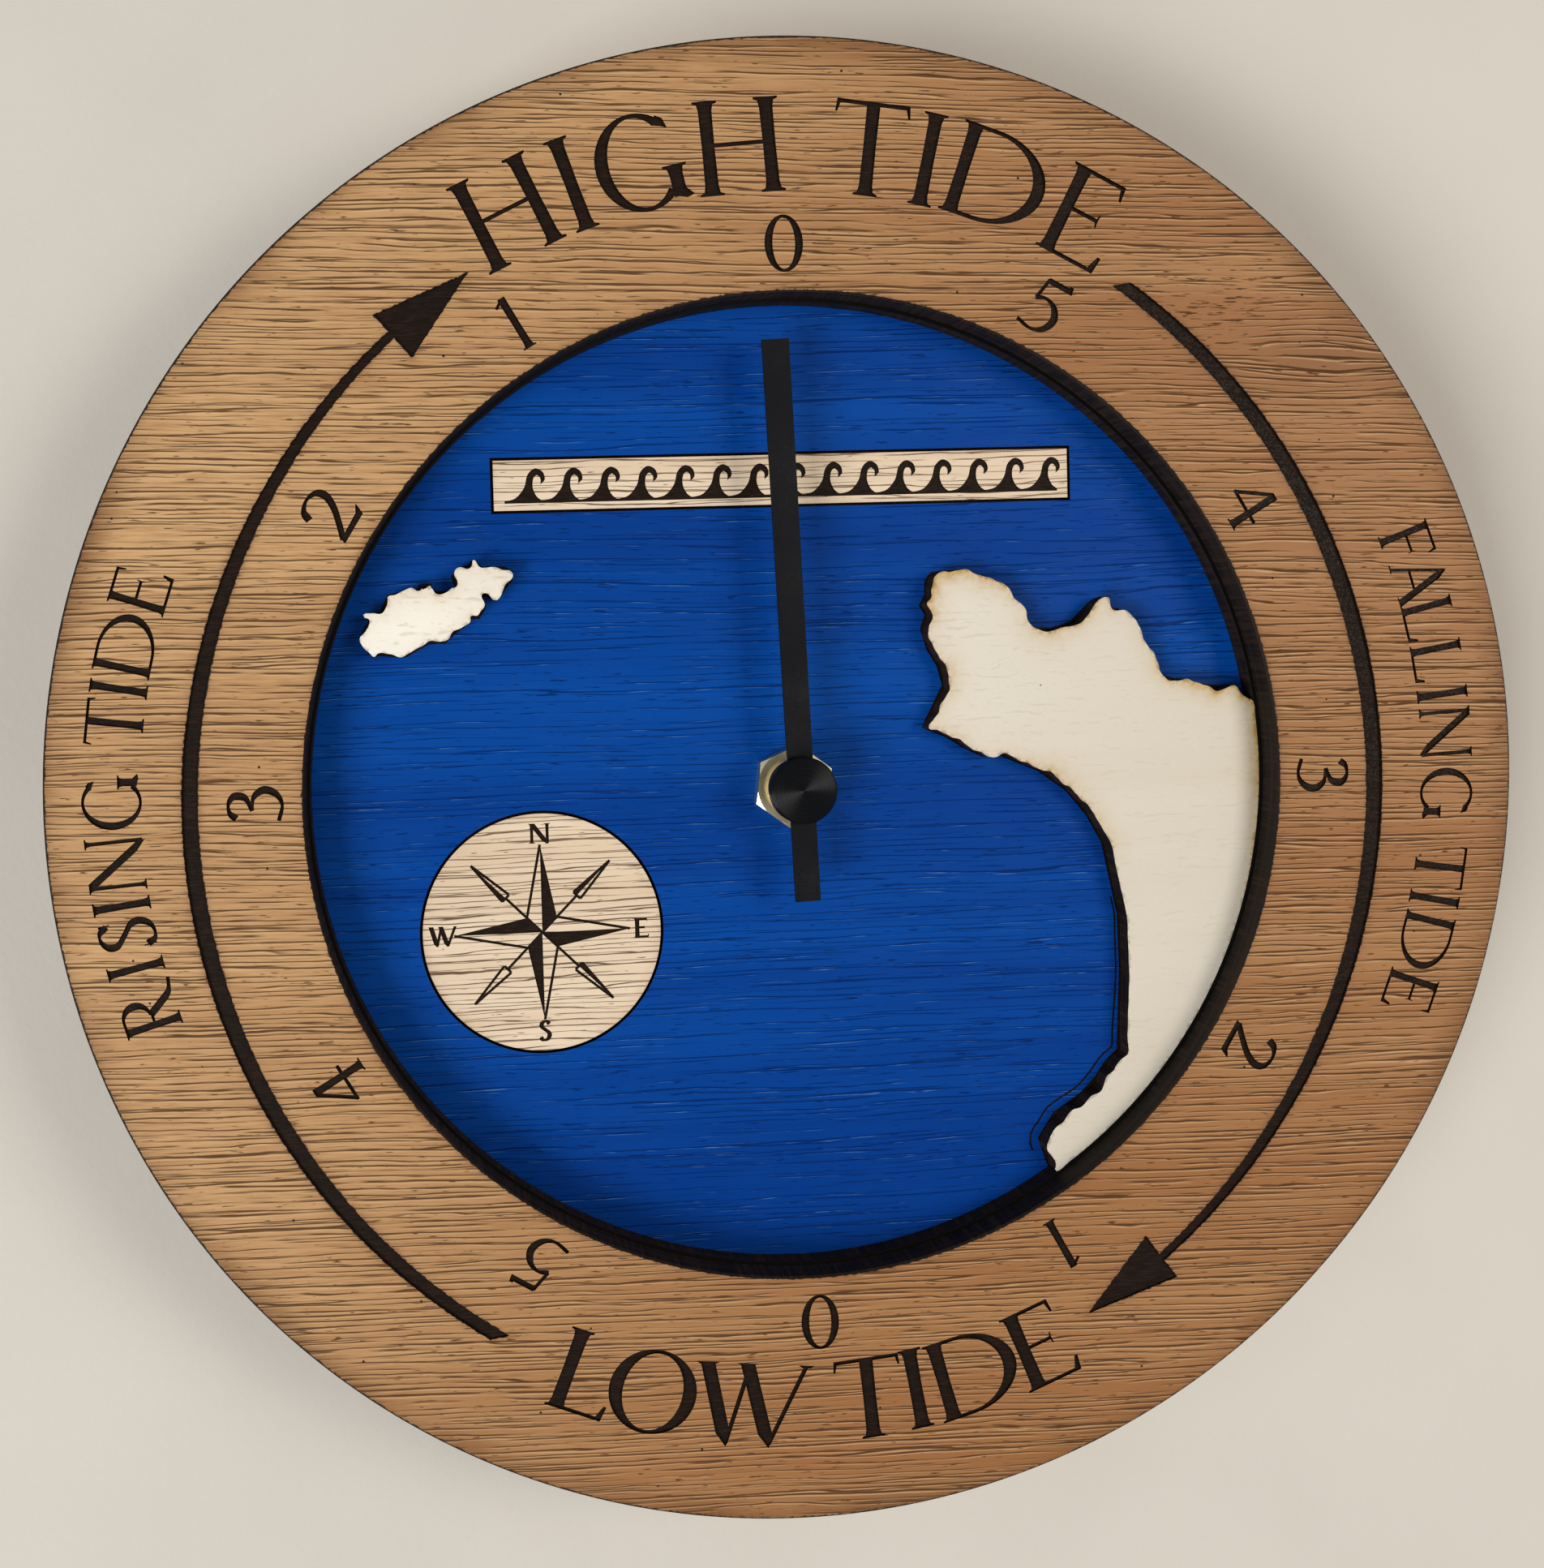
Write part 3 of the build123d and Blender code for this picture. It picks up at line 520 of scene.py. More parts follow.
@dataclass(frozen=True)
class PaleVeneer(Finish):
    """Bare pale veneer of the inlays."""

    pale: Colour = (0.82, 0.69, 0.54)
    deep: Colour = (0.66, 0.51, 0.36)
    pore: Colour = (0.085, 0.036, 0.015)
    toast: Colour = (0.26, 0.13, 0.05)

    def dress(self, g: Graph, effects: Effects) -> dict[str, Any]:
        """Lay thin grooves over the figure's tone, and scorch beside the cuts."""
        place = g.place()
        grain = effects.grain.use(g, place, Cover=0.075, Seed=11.3, Pitch=0.00135, Width=0.58)
        tone = g.coats(
            self.pale,
            (g.span(grain["Figure"], 0.3, 0.7), self.deep),
            (g.span(grain["Fibre"], 0.35, 0.75) * 0.3, self.deep),
            (grain["Pores"] * 0.92, self.pore),
            (effects.scorch.use(g, place)["Toast"] * 0.4, self.toast),
        )
        rough = g.span(grain["Pores"], 0.0, 1.0, 0.55, 0.8)
        return look(tone, rough, g.bump(grain["Height"], 0.45, 0.00015), 0.3)


@dataclass(frozen=True)
class BluePaint(Finish):
    """Brushed blue paint, deeper towards the bottom, that shows the grain as grooves with painted glints on
    their lips.
    """

    bright: Colour = (0.0010, 0.063, 0.345)
    deep: Colour = (0.0006, 0.039, 0.250)
    groove: Colour = (0.0005, 0.010, 0.075)
    # painted highlight: pale blue of the glints on the groove lips
    lip: Colour = (0.10, 0.27, 0.60)
    fade: Pair = (-0.055, -0.15)

    def dress(self, g: Graph, effects: Effects) -> dict[str, Any]:
        """Lay grooves, and painted glints on their lips, over a soft brushed tone."""
        place = g.place()
        grain = effects.grain.use(g, place, Cover=-0.01, Seed=7.9, Along=34.0, Pitch=0.00125, Width=0.55)
        smear = effects.handling.use(g, place)["Smear"]
        low = g.span(g.split(place)[2], *self.fade)
        tone = g.coats(
            self.bright,
            (g.math("ADD", g.span(grain["Figure"], 0.3, 0.7, 0.0, 0.9), low, clamp=True), self.deep),
            # painted highlight: glints on the groove lips, in patches of the fibre noise
            (grain["Lip"] * g.span(grain["Fibre"], 0.52, 0.68, 0.0, 0.6), self.lip),
            (grain["Pores"] * 0.75, self.groove),
        )
        return look(tone, g.span(smear, 0.3, 0.7, 0.36, 0.52), g.bump(grain["Height"], 0.5, 0.0002), 0.06)


@dataclass(frozen=True)
class LandWash(Finish):
    """White-washed birch, whiter towards the left, with yellow scorch on edges that face the smoke."""

    wash: Colour = (0.645, 0.603, 0.523)
    left_white: Colour = (0.90, 0.87, 0.80)
    shade: Colour = (0.58, 0.515, 0.415)
    toast: Colour = (0.50, 0.33, 0.12)
    char: Colour = (0.03, 0.016, 0.009)
    # where along x the wash turns whiter, from right to left, in metres
    thick: Pair = (0.09, -0.08)
    smoke_lean: Pair = (0.25, 0.6)
    smoke: Pair = (-0.03, 0.004)
    hole_scale: float = 95.0
    hole_edge: Pair = (0.035, 0.02)

    def dress(self, g: Graph, effects: Effects) -> dict[str, Any]:
        """Lay a faint figure, flecks and pinholes over the wash, and scorch in patches beside the cuts."""
        place = g.place()
        grain = effects.grain.use(g, place, Cover=-0.1, Seed=19.1, Along=190.0, Pitch=0.0016)
        scorch = effects.scorch.use(g, place)
        x, _, z = g.split(place)
        smoke = g.span(z * self.smoke_lean[1] + x * self.smoke_lean[0], *self.smoke)
        tone = g.coats(
            self.wash,
            # whiter towards the left
            (g.span(x, *self.thick), self.left_white),
            (g.span(grain["Figure"], 0.35, 0.7) * 0.3, self.shade),
            (grain["Pores"] * 0.5, self.shade),
            (g.math("MULTIPLY", scorch["Toast"], 1.5, clamp=True) * smoke, self.toast),
            (scorch["Char"] * 0.35, self.char),
            (g.pinholes(place, self.hole_scale, self.hole_edge), self.char),
        )
        return look(tone, 0.55, g.bump(grain["Height"], 0.25, 0.0001), 0.3)


@dataclass(frozen=True)
class CharredCut(Finish):
    """Laser-burnt wall of a cut board, with fine beam lines and the joints between the boards."""

    char: Colour = (0.008, 0.006, 0.005)
    ember: Colour = (0.026, 0.015, 0.010)
    gap: Colour = (0.001, 0.001, 0.001)
    joints: Pair = (-0.0211, -0.0251)
    joint_edge: Pair = (0.00016, 0.000064)
    beam: Triple = (1100.0, 60.0, 1100.0)
    plies: Triple = (20.0, 900.0, 20.0)

    def dress(self, g: Graph, effects: Effects) -> dict[str, Any]:
        """Lay beam lines and plies over uneven char, and a dark line at each joint."""
        place = g.place()
        lines = g.noise(g.scaled(place, self.beam), rough=0.6)
        plies = g.noise(g.scaled(place, self.plies), detail=1.0)
        gaps = [abs(g.split(place)[1] - joint) for joint in self.joints]
        seam = g.span(g.math("MINIMUM", *gaps), *self.joint_edge)
        tone = g.coats(
            self.char,
            (g.span(lines, 0.4, 0.75), self.ember),
            (g.span(plies, 0.45, 0.65) * 0.6, self.ember),
            (seam, self.gap),
        )
        normal = g.bump(seam * -2.0 + lines * 0.7, 0.5, 0.0002)
        return look(tone, g.span(lines, 0.3, 0.7, 0.6, 0.85), normal, 0.15)


@dataclass(frozen=True)
class BurntMark(Finish):
    """Floor of a laser engraving: dark brown, a little sooty, with glints of resin."""

    soot: Colour = (0.007, 0.0035, 0.0022)
    brown: Colour = (0.021, 0.0088, 0.0046)
    scan: Triple = (350.0, 350.0, 3200.0)

    def dress(self, g: Graph, effects: Effects) -> dict[str, Any]:
        """Lay scan lines and speckle over soot."""
        place = g.place()
        scan = g.noise(g.scaled(place, self.scan), detail=2.0)
        speck = g.noise(place, 2400.0, 2.0)
        tone = g.coats(self.soot, (g.span(scan, 0.4, 0.75), self.brown))
        return look(tone, g.span(speck, 0.35, 0.7, 0.75, 0.42), g.bump(scan + speck, 0.5, 0.0001), 0.13)


@dataclass(frozen=True)
class BareBoard(Finish):
    """Unpainted rear face of the boards."""

    pale: Colour = (0.42, 0.28, 0.155)
    deep: Colour = (0.30, 0.185, 0.095)
    pore: Colour = (0.12, 0.065, 0.03)

    def dress(self, g: Graph, effects: Effects) -> dict[str, Any]:
        """Lay short fibres over the figure's tone."""
        place = g.place()
        grain = effects.grain.use(g, place, Cover=-0.05, Seed=27.0, Pitch=0.0016)
        smear = effects.handling.use(g, place, Speck=0.6)["Smear"]
        figure = g.span(grain["Figure"], 0.3, 0.7)
        tone = g.coats(self.pale, (figure, self.deep), (grain["Pores"] * 0.6, self.pore))
        return look(tone, g.span(smear, 0.3, 0.7, 0.62, 0.8), g.bump(grain["Height"], 0.35, 0.0001))


@dataclass(frozen=True)
class Moulded(Finish):
    """A fine-textured surface that handling scuffs: moulded plastic or rubber."""

    base: Colour
    scuff: Colour
    rough: Pair
    texture: Triple
    depth: float
    metallic: float = 0.0
    wear: Pair = (0.5, 0.85)
    gloss: Pair = (0.3, 0.7)
    height: float = 0.00005

    def dress(self, g: Graph, effects: Effects) -> dict[str, Any]:
        """Vary the tone and the gloss with handling, over a fine texture."""
        place = g.place()
        smear = effects.handling.use(g, place)["Smear"]
        texture = g.noise(g.scaled(place, self.texture), detail=2.0)
        tone = g.coats(self.base, (g.span(smear, *self.wear), self.scuff))
        rough = g.span(smear, *self.gloss, *self.rough)
        return look(tone, rough, g.bump(texture, self.depth, self.height), Metallic=self.metallic)


@dataclass(frozen=True)
class Metal(Moulded):
    """Plated, polished or stamped metal, whose texture is its tool marks."""

    metallic: float = 1.0
    wear: Pair = (0.45, 0.75)
    gloss: Pair = (0.3, 0.75)
    height: float = 0.00003


@dataclass(frozen=True)
class SatinBlack(Finish):
    """Satin black coating of the hand, a little dusty."""

    base: Colour = (0.004, 0.0045, 0.007)
    dust: Colour = (0.012, 0.013, 0.016)

    def dress(self, g: Graph, effects: Effects) -> dict[str, Any]:
        """Lay a trace of dust over a fine coat."""
        hand = effects.handling.use(g, g.place(), Speck=0.5)
        tone = g.coats(self.base, (g.span(hand["Smear"], 0.5, 0.85), self.dust))
        rough = g.span(hand["Smear"], 0.3, 0.7, 0.34, 0.5)
        return look(tone, rough, g.bump(hand["Speck"], 0.12, 0.00003), 0.14)


@dataclass(frozen=True)
class TurnedBlack(Finish):
    """Black cap, faced on a lathe, whose fine rings spread its highlights into two wedges."""

    axis: Triple = (0.0, -0.0331, -0.038)
    base: Colour = (0.003, 0.004, 0.006)
    wear: Colour = (0.012, 0.013, 0.016)
    pitch: float = 0.00016
    wear_scale: float = 5000.0

    def dress(self, g: Graph, effects: Effects) -> dict[str, Any]:
        """Make anisotropic black metal with fine rings about the cap's axis."""
        radius = g.radius(g.place(), self.axis)
        rings = g.math("SINE", radius * (2.0 * math.pi / self.pitch))
        worn = g.noise(g.join(radius * self.wear_scale, 0.0, 0.0), detail=2.0)
        tone = g.coats(self.base, (g.span(worn, 0.35, 0.7), self.wear))
        tangent = g.out("ShaderNodeTangent", direction_type="RADIAL", axis="Y")
        spread = {"Metallic": 0.75, "Anisotropic": 0.95, "Anisotropic Rotation": 0.25, "Tangent": tangent}
        return look(tone, g.span(worn, 0.3, 0.7, 0.3, 0.4), g.bump(rings, 0.08, 0.00002), **spread)


@dataclass(frozen=True)
class CellSleeve(Finish):
    """Battery sleeve: plain dark body, a bright band at the positive end, bare steel ends."""

    seam: float = 0.014
    middle: float = -0.0007
    end: float = 0.0243
    body: Colour = (0.030, 0.034, 0.042)
    band: Colour = (0.55, 0.30, 0.08)
    steel: Colour = (0.62, 0.62, 0.60)

    def dress(self, g: Graph, effects: Effects) -> dict[str, Any]:
        """Colour the cell by place along it."""
        place = g.place()
        x = g.split(place)[0]
        smear = effects.handling.use(g, place)["Smear"]
        bright = g.math("GREATER_THAN", x, self.seam)
        bare = g.math("GREATER_THAN", abs(x - self.middle), self.end)
        tone = g.coats(self.body, (bright, self.band), (bare, self.steel))
        rough = g.span(smear, 0.3, 0.7, 0.25, 0.38)
        return {"Base Color": tone, "Roughness": rough, "Metallic": g.most(bare, bright * 0.6)}


@dataclass(frozen=True)
class WallPaint(Finish):
    """Pale painted plaster that shows to the camera and in gloss, from its front only."""

    paint: Colour = (0.635, 0.612, 0.572)
    shade: Colour = (0.61, 0.585, 0.545)

    def shader(self, g: Graph, effects: Effects) -> Value:
        """Make matt paint, see-through from behind and to light that isn't seen directly.

        Args:
            g: The material's graph.
            effects: The shared node groups.

        Returns:
            The shader.
        """
        place = g.place()
        stipple = g.noise(place, 420.0, 4.0, 0.6)
        tone = g.coats(self.paint, (g.span(g.noise(place, 14.0), 0.3, 0.7), self.shade))
        matt = g.out("ShaderNodeBsdfDiffuse", {"Color": tone, "Normal": g.bump(stipple, 0.22, 0.0004)})
        front = 1.0 - g.out("ShaderNodeNewGeometry", output="Backfacing")
        seen = seen_by(g, "Camera", "Glossy", "Transmission")
        return g.out("ShaderNodeMixShader", {0: seen * front, 1: g.out("ShaderNodeBsdfTransparent"), 2: matt})


def seen_by(g: Graph, *rays: str) -> Value:
    """Return whether a ray is of one of some kinds."""
    path = g.node("ShaderNodeLightPath").outputs
    return g.most(*(Value(g, path[f"Is {ray} Ray"]) for ray in rays))


class Palette:
    """All finishes of the clock, made into materials once."""

    def __init__(self) -> None:
        """Make each finish."""
        effects = Effects()
        turned, drawn, rolled = (400.0, 5200.0, 400.0), (2600.0, 200.0, 150.0), (200.0, 200.0, 3000.0)
        scuffed = (0.05, 0.05, 0.05)

        def even(size: float) -> Triple:
            """Return a texture's scale that is the same along each axis."""
            return (size, size, size)

        finishes: list[Finish] = [
            OiledOak("oiled_oak"), PaleVeneer("pale_veneer"), BluePaint("blue_paint"), LandWash("land_wash"),
            CharredCut("charred_cut"), BurntMark("burnt_mark"), BareBoard("bare_board"),
            Metal("pale_brass", (0.93, 0.78, 0.47), (0.80, 0.60, 0.28), (0.24, 0.40), turned, 0.10),
            Metal("nut_brass", (0.97, 0.87, 0.60), (0.90, 0.74, 0.44), (0.30, 0.44), turned, 0.06),
            Metal("zinc_steel", (0.62, 0.62, 0.61), (0.44, 0.44, 0.43), (0.28, 0.44), drawn, 0.2),
            Metal("stamped_steel", (0.50, 0.50, 0.49), (0.34, 0.34, 0.33), (0.3, 0.5), rolled, 0.15),
            Metal("enamelled_copper", (0.60, 0.22, 0.07), (0.42, 0.14, 0.05), (0.2, 0.32), even(600.0), 0.05),
            Metal("sintered_magnet", (0.20, 0.20, 0.21), (0.13, 0.13, 0.13), (0.4, 0.6), even(1500.0), 0.4),
            SatinBlack("satin_black"), TurnedBlack("turned_black"),
            Moulded("black_housing", (0.022, 0.022, 0.023), scuffed, (0.42, 0.6), even(1500.0), 0.25),
            Moulded("white_gear", (0.74, 0.73, 0.69), (0.60, 0.59, 0.55), (0.35, 0.5), even(900.0), 0.1),
            Moulded("black_rubber", (0.018, 0.018, 0.018), scuffed, (0.7, 0.85), even(2200.0), 0.4),
            Moulded("green_board", (0.015, 0.13, 0.05), (0.03, 0.20, 0.08), (0.3, 0.45), even(700.0), 0.15),
            CellSleeve("cell_sleeve"), WallPaint("wall_paint"),
        ]
        self.materials = {finish.name: finish.make(effects) for finish in finishes}

    def __getitem__(self, name: str) -> Material:
        """Return a material by its finish's name."""
        return self.materials[name]


# Flat outlines


def circle(radius: float, count: int, at: Pair = (0.0, 0.0)) -> Loop:
    """Return a closed round outline, counter-clockwise as seen from the front."""
    turn = np.linspace(0.0, 2.0 * math.pi, count, endpoint=False)
    return np.column_stack((at[0] + radius * np.cos(turn), at[1] + radius * np.sin(turn)))


def dense(loop: Loop, step: float) -> Loop:
    """Add points to a closed outline.

    Args:
        loop: The outline.
        step: The longest side it may have.

    Returns:
        The outline with the points added.
    """
    out: list[np.ndarray] = []
    for a, b in zip(loop, np.roll(loop, -1, axis=0)):
        count = max(1, int(math.ceil(float(np.linalg.norm(b - a)) / step)))
        out.append(a + (b - a) * (np.arange(count) / count)[:, None])
    return np.concatenate(out)


def smooth(points: Sequence[Pair] | Loop, per_side: int, closed: bool = False) -> Loop:
    """Draw a smooth line through points.

    Args:
        points: Points that the line passes through.
        per_side: Number of pieces between two points.
        closed: Whether the line returns to its start.

    Returns:
        The points of the line.
    """
    p = np.asarray(points, dtype=float)
    ends = (p[-1], p, p[0], p[1]) if closed else (2 * p[0] - p[1], p, 2 * p[-1] - p[-2])
    padded = np.vstack(ends)
    t = (np.arange(per_side) / per_side)[:, None]
    out = []
    for a, b, c, d in zip(padded, padded[1:], padded[2:], padded[3:]):
        square, cube = 2 * a - 5 * b + 4 * c - d, 3 * b - a - 3 * c + d
        out.append(0.5 * (2 * b + (c - a) * t + square * t**2 + cube * t**3))
    if not closed:
        out.append(p[-1:])
    return np.concatenate(out)


def offset(loop: Loop, by: float | np.ndarray) -> Loop:
    """Move a counter-clockwise outline outwards.

    Args:
        loop: The outline.
        by: The distance, or a column with each point's own.

    Returns:
        The moved outline.
    """
    run = np.roll(loop, -1, axis=0) - np.roll(loop, 1, axis=0)
    run /= np.maximum(TINY, np.linalg.norm(run, axis=1))[:, None]
    return loop + by * np.column_stack((run[:, 1], -run[:, 0]))


def holds(loop: Loop, points: np.ndarray) -> np.ndarray:
    """Find the points inside a closed outline.

    Args:
        loop: The outline.
        points: The points to try.

    Returns:
        Whether each point lies inside.
    """
    out = np.zeros(len(points), dtype=bool)
    low, high = loop.min(axis=0), loop.max(axis=0)
    near = np.nonzero(np.all((points >= low) & (points <= high), axis=1))[0]
    if not len(near):
        return out
    x, y = points[near, 0][:, None], points[near, 1][:, None]
    x0, y0 = loop[:, 0], loop[:, 1]
    x1, y1 = np.roll(x0, -1), np.roll(y0, -1)
    rise = np.where(y1 == y0, 1.0, y1 - y0)
    hit = ((y0 > y) != (y1 > y)) & (x < (x1 - x0) * (y - y0) / rise + x0)
    out[near] = np.sum(hit, axis=1) % 2 == 1
    return out


@dataclass(frozen=True)
class Lettering:
    """Constructed capitals and figures.

    All lengths are shares of the cap height, with x from the letter's main stem or middle.
    """

    thick: float = 0.150
    thin: float = 0.046
    serif: float = 0.058
    bracket: float = 0.075
    lip: float = 0.022

    def stem(self, x: float, low: float = 0.0, high: float = 1.0, width: float = 0.0, foot: bool = True,
             head: bool = True) -> Loop:
        """Draw an upright stroke with bracketed serifs.

        Args:
            x: Its middle.
            low: Its lower end.
            high: Its upper end.
            width: Its width, if it isn't a thick stroke's.
            foot: Whether it has serifs below.
            head: Whether it has serifs above.

        Returns:
            Its outline.
        """
        h, s, b, t = (width or self.thick) / 2, self.serif, self.bracket, self.lip
        serif = [(x + h + s, 0.0), (x + h + s, t), (x + h + s * 0.25, b * 0.5), (x + h, b * 1.4)]
        foot_right = [(px, low + up) for px, up in serif] if foot else [(x + h, low)]
        head_right = [(px, high - down) for px, down in reversed(serif)] if head else [(x + h, high)]
        waist = [(x + h * 0.93, (low + high) / 2)] if high - low > 0.6 else []
        right = foot_right + waist + head_right
        return np.array(right + [(2 * x - px, py) for px, py in reversed(right)])

    def bar(self, x0: float, x1: float, y: float, width: float = 0.0) -> Loop:
        """Return a thin level stroke."""
        h = (width or self.thin) / 2
        return np.array([(x0, y - h), (x1, y - h), (x1, y + h), (x0, y + h)])

    def beak(self, x: float, y: float, rise: float, lean: float) -> Loop:
        """Return the wedge that ends an arm, hanging down or standing up."""
        return np.array([(x - lean, y), (x, y), (x + lean * 0.25, y + rise), (x - lean * 0.2, y + rise)])

    def slant(self, a: Pair, b: Pair, width: float) -> Loop:
        """Return a slanting stroke with level ends."""
        h = width / 2 * math.hypot(b[0] - a[0], b[1] - a[1]) / abs(b[1] - a[1])
        return np.array([(a[0] - h, a[1]), (b[0] - h, b[1]), (b[0] + h, b[1]), (a[0] + h, a[1])])

    def dagger(self, a: Pair, b: Pair, width: float, taper: float = 0.84) -> Loop:
        """Draw a slanting stroke with a level end and a point.

        Args:
            a: Its level end.
            b: Its point.
            width: Its width.
            taper: Where along it the point begins.

        Returns:
            Its outline.
        """
        h = width / 2 * math.hypot(b[0] - a[0], b[1] - a[1]) / abs(b[1] - a[1])
        x, y = (a[i] + (b[i] - a[i]) * taper for i in range(2))
        return np.array([(a[0] - h, a[1]), (x - h, y), b, (x + h, y), (a[0] + h, a[1])])

    def foot(self, x: float, y: float, up: float, width: float) -> Loop:
        """Return a serif that stands alone at the end of a slanting stroke."""
        h = width / 2
        return np.array([(x - h, y), (x + h, y), (x + h * 0.55, y + up), (x - h * 0.55, y + up)])

    def bowl(self, at: Pair, rx: float, ry: float, start: float, end: float) -> Loop:
        """Draw a round stroke, thick at its sides and thin above and below.

        Args:
            at: Its middle.
            rx: Its outer half width.
            ry: Its outer half height.
            start: The angle that it starts at.
            end: The angle that it ends at.

        Returns:
            Its outline.
        """
        turn = np.radians(np.linspace(start, end, max(8, int(abs(end - start) / 7))))
        outer, inner = (np.column_stack((at[0] + a * np.cos(turn), at[1] + b * np.sin(turn)))
                        for a, b in ((rx, ry), (rx - self.thick, ry - self.thin)))
        return np.vstack((outer, inner[::-1]))

    def ribbon(self, points: Sequence[Pair], thin: float = 0.0, thick: float = 0.0) -> Loop:
        """Draw a curved pen stroke, thick where it runs upright.

        Args:
            points: Points along its middle.
            thin: Its least width, if it isn't a thin stroke's.
            thick: Its greatest width, if it isn't a thick stroke's.

        Returns:
            Its outline.
        """
        line = smooth(points, 7)
        run = np.gradient(line, axis=0)
        run /= np.linalg.norm(run, axis=1)[:, None]
        low, high = thin or self.thin, thick or self.thick
        width = low + (high - low) * np.abs(run[:, 1]) ** 1.3
        side = np.column_stack((-run[:, 1], run[:, 0])) * (width / 2)[:, None]
        return np.vstack((line + side, (line - side)[::-1]))

    def ring(self, rx: float, ry: float) -> list[Loop]:
        """Return a closed bowl as its left and right halves."""
        return [self.bowl((0.0, 0.5), rx, ry, 90, 270), self.bowl((0.0, 0.5), rx, ry, -90, 90)]

    def glyph(self, letter: str) -> list[Loop]:
        """Draw one letter or figure.

        Args:
            letter: The letter or figure.

        Returns:
            Outlines whose union is the letter.
        """
        t, w = self.thin, self.thick
        top, low = 1.0 - t / 2, t / 2
        stem, bar, beak, slant, dagger = self.stem, self.bar, self.beak, self.slant, self.dagger
        foot, bowl, ribbon = self.foot, self.bowl, self.ribbon
        arms = [bar(0.0, 0.50, top), beak(0.50, 1.0, -0.17, 0.06)]
        mid = [bar(0.0, 0.37, 0.53), beak(0.38, 0.53, 0.075, 0.03), beak(0.38, 0.53, -0.075, 0.03)]
        base = [bar(0.0, 0.56, low), beak(0.57, 0.0, 0.19, 0.09)]
        table: dict[str, list[Loop]] = {
            "H": [stem(0.0), stem(0.66), bar(0.0, 0.66, 0.53)],
            "I": [stem(0.0)],
            "G": [bowl((-0.35, 0.5), 0.48, 0.52, 48, 180), bowl((-0.35, 0.5), 0.48, 0.52, 180, 316),
                  np.array([(-0.14, 0.85), (-0.07, 0.945), (0.0, 0.90), (0.03, 0.79), (-0.04, 0.82)]),
                  stem(0.0, 0.06, 0.40, foot=False),
                  np.array([(-0.10, 0.09), (0.06, 0.03), (0.15, 0.05), (0.07, 0.14)])],
            "T": [stem(0.0, head=False), bar(-0.40, 0.40, top), beak(0.40, 1.0, -0.14, 0.05),
                  beak(-0.40, 1.0, -0.14, -0.05)],
            "D": [stem(0.0), bar(0.0, 0.28, top), bar(0.0, 0.28, low), bowl((0.26, 0.5), 0.68, 0.5, -90, 90)],
            "E": [stem(0.0), *arms, *mid, *base],
            "F": [stem(0.0), *arms, *mid],
            "L": [stem(0.0), *base],
            "O": self.ring(0.54, 0.52),
            "W": [dagger((-0.62, 1.0), (-0.32, -0.04), w), slant((-0.33, 0.0), (-0.10, 0.96), t * 1.2),
                  dagger((-0.13, 1.0), (0.21, -0.04), w), slant((0.20, 0.0), (0.60, 1.0), t * 1.2),
                  foot(-0.62, 1.0, -0.03, 0.30), foot(-0.13, 1.0, -0.03, 0.26), foot(0.60, 1.0, -0.03, 0.20)],
            "R": [stem(0.0), bar(0.0, 0.22, top), bar(0.0, 0.24, 0.47),
                  bowl((0.19, 0.735), 0.30, 0.265, -90, 90),
                  ribbon([(0.20, 0.48), (0.34, 0.27), (0.50, 0.07), (0.74, 0.0)], t, w * 1.15)],
            "S": [ribbon([(0.21, 0.83), (0.10, 0.965), (-0.04, 0.965), (-0.16, 0.86), (-0.16, 0.70),
                          (0.0, 0.55), (0.17, 0.41), (0.21, 0.25), (0.12, 0.08), (-0.03, 0.02), (-0.15, 0.05),
                          (-0.22, 0.18)]),
                  beak(0.23, 0.97, -0.2, 0.04), beak(-0.24, 0.03, 0.22, -0.04)],
            "N": [stem(0.0, width=t * 1.4), stem(0.78, width=t * 1.4, foot=False),
                  dagger((0.0, 1.0), (0.79, -0.05), w)],
            "A": [slant((-0.01, 1.03), (-0.34, 0.0), t * 1.2), dagger((0.33, 0.0), (-0.03, 1.07), w),
                  bar(-0.23, 0.23, 0.36), foot(-0.34, 0.0, 0.03, 0.20), foot(0.33, 0.0, 0.03, 0.30)],
            "0": self.ring(0.35, 0.51),
            "1": [stem(0.04, head=False), ribbon([(0.06, 0.985), (-0.03, 0.93), (-0.13, 0.87)], t, t)],
            "2": [ribbon([(-0.31, 0.74), (-0.23, 0.90), (-0.03, 0.965), (0.155, 0.89), (0.21, 0.72),
                          (0.11, 0.50), (-0.09, 0.27), (-0.30, 0.06)]),
                  np.array([(-0.345, 0.0), (0.28, 0.0), (0.365, 0.20), (0.30, 0.17), (0.22, 0.115),
                            (-0.31, 0.10)])],
            "3": [ribbon([(-0.255, 0.83), (-0.155, 0.945), (0.01, 0.965), (0.14, 0.86), (0.105, 0.67),
                          (-0.12, 0.55)]),
                  ribbon([(-0.12, 0.555), (0.12, 0.52), (0.245, 0.34), (0.17, 0.13), (-0.03, 0.025),
                          (-0.31, 0.09)])],
            "4": [stem(0.155, head=False), slant((0.13, 1.0), (-0.32, 0.40), t * 1.3),
                  bar(-0.36, 0.365, 0.395, t * 1.2)],
            "5": [bar(-0.12, 0.34, 0.945, w * 0.75), beak(0.36, 1.03, -0.14, 0.08),
                  ribbon([(-0.11, 0.97), (-0.155, 0.76), (-0.20, 0.57)], t * 1.2, t * 1.2),
                  ribbon([(-0.21, 0.565), (-0.02, 0.63), (0.18, 0.55), (0.28, 0.34), (0.18, 0.12),
                          (-0.045, 0.02), (-0.345, 0.08)])],
        }
        return table[letter]


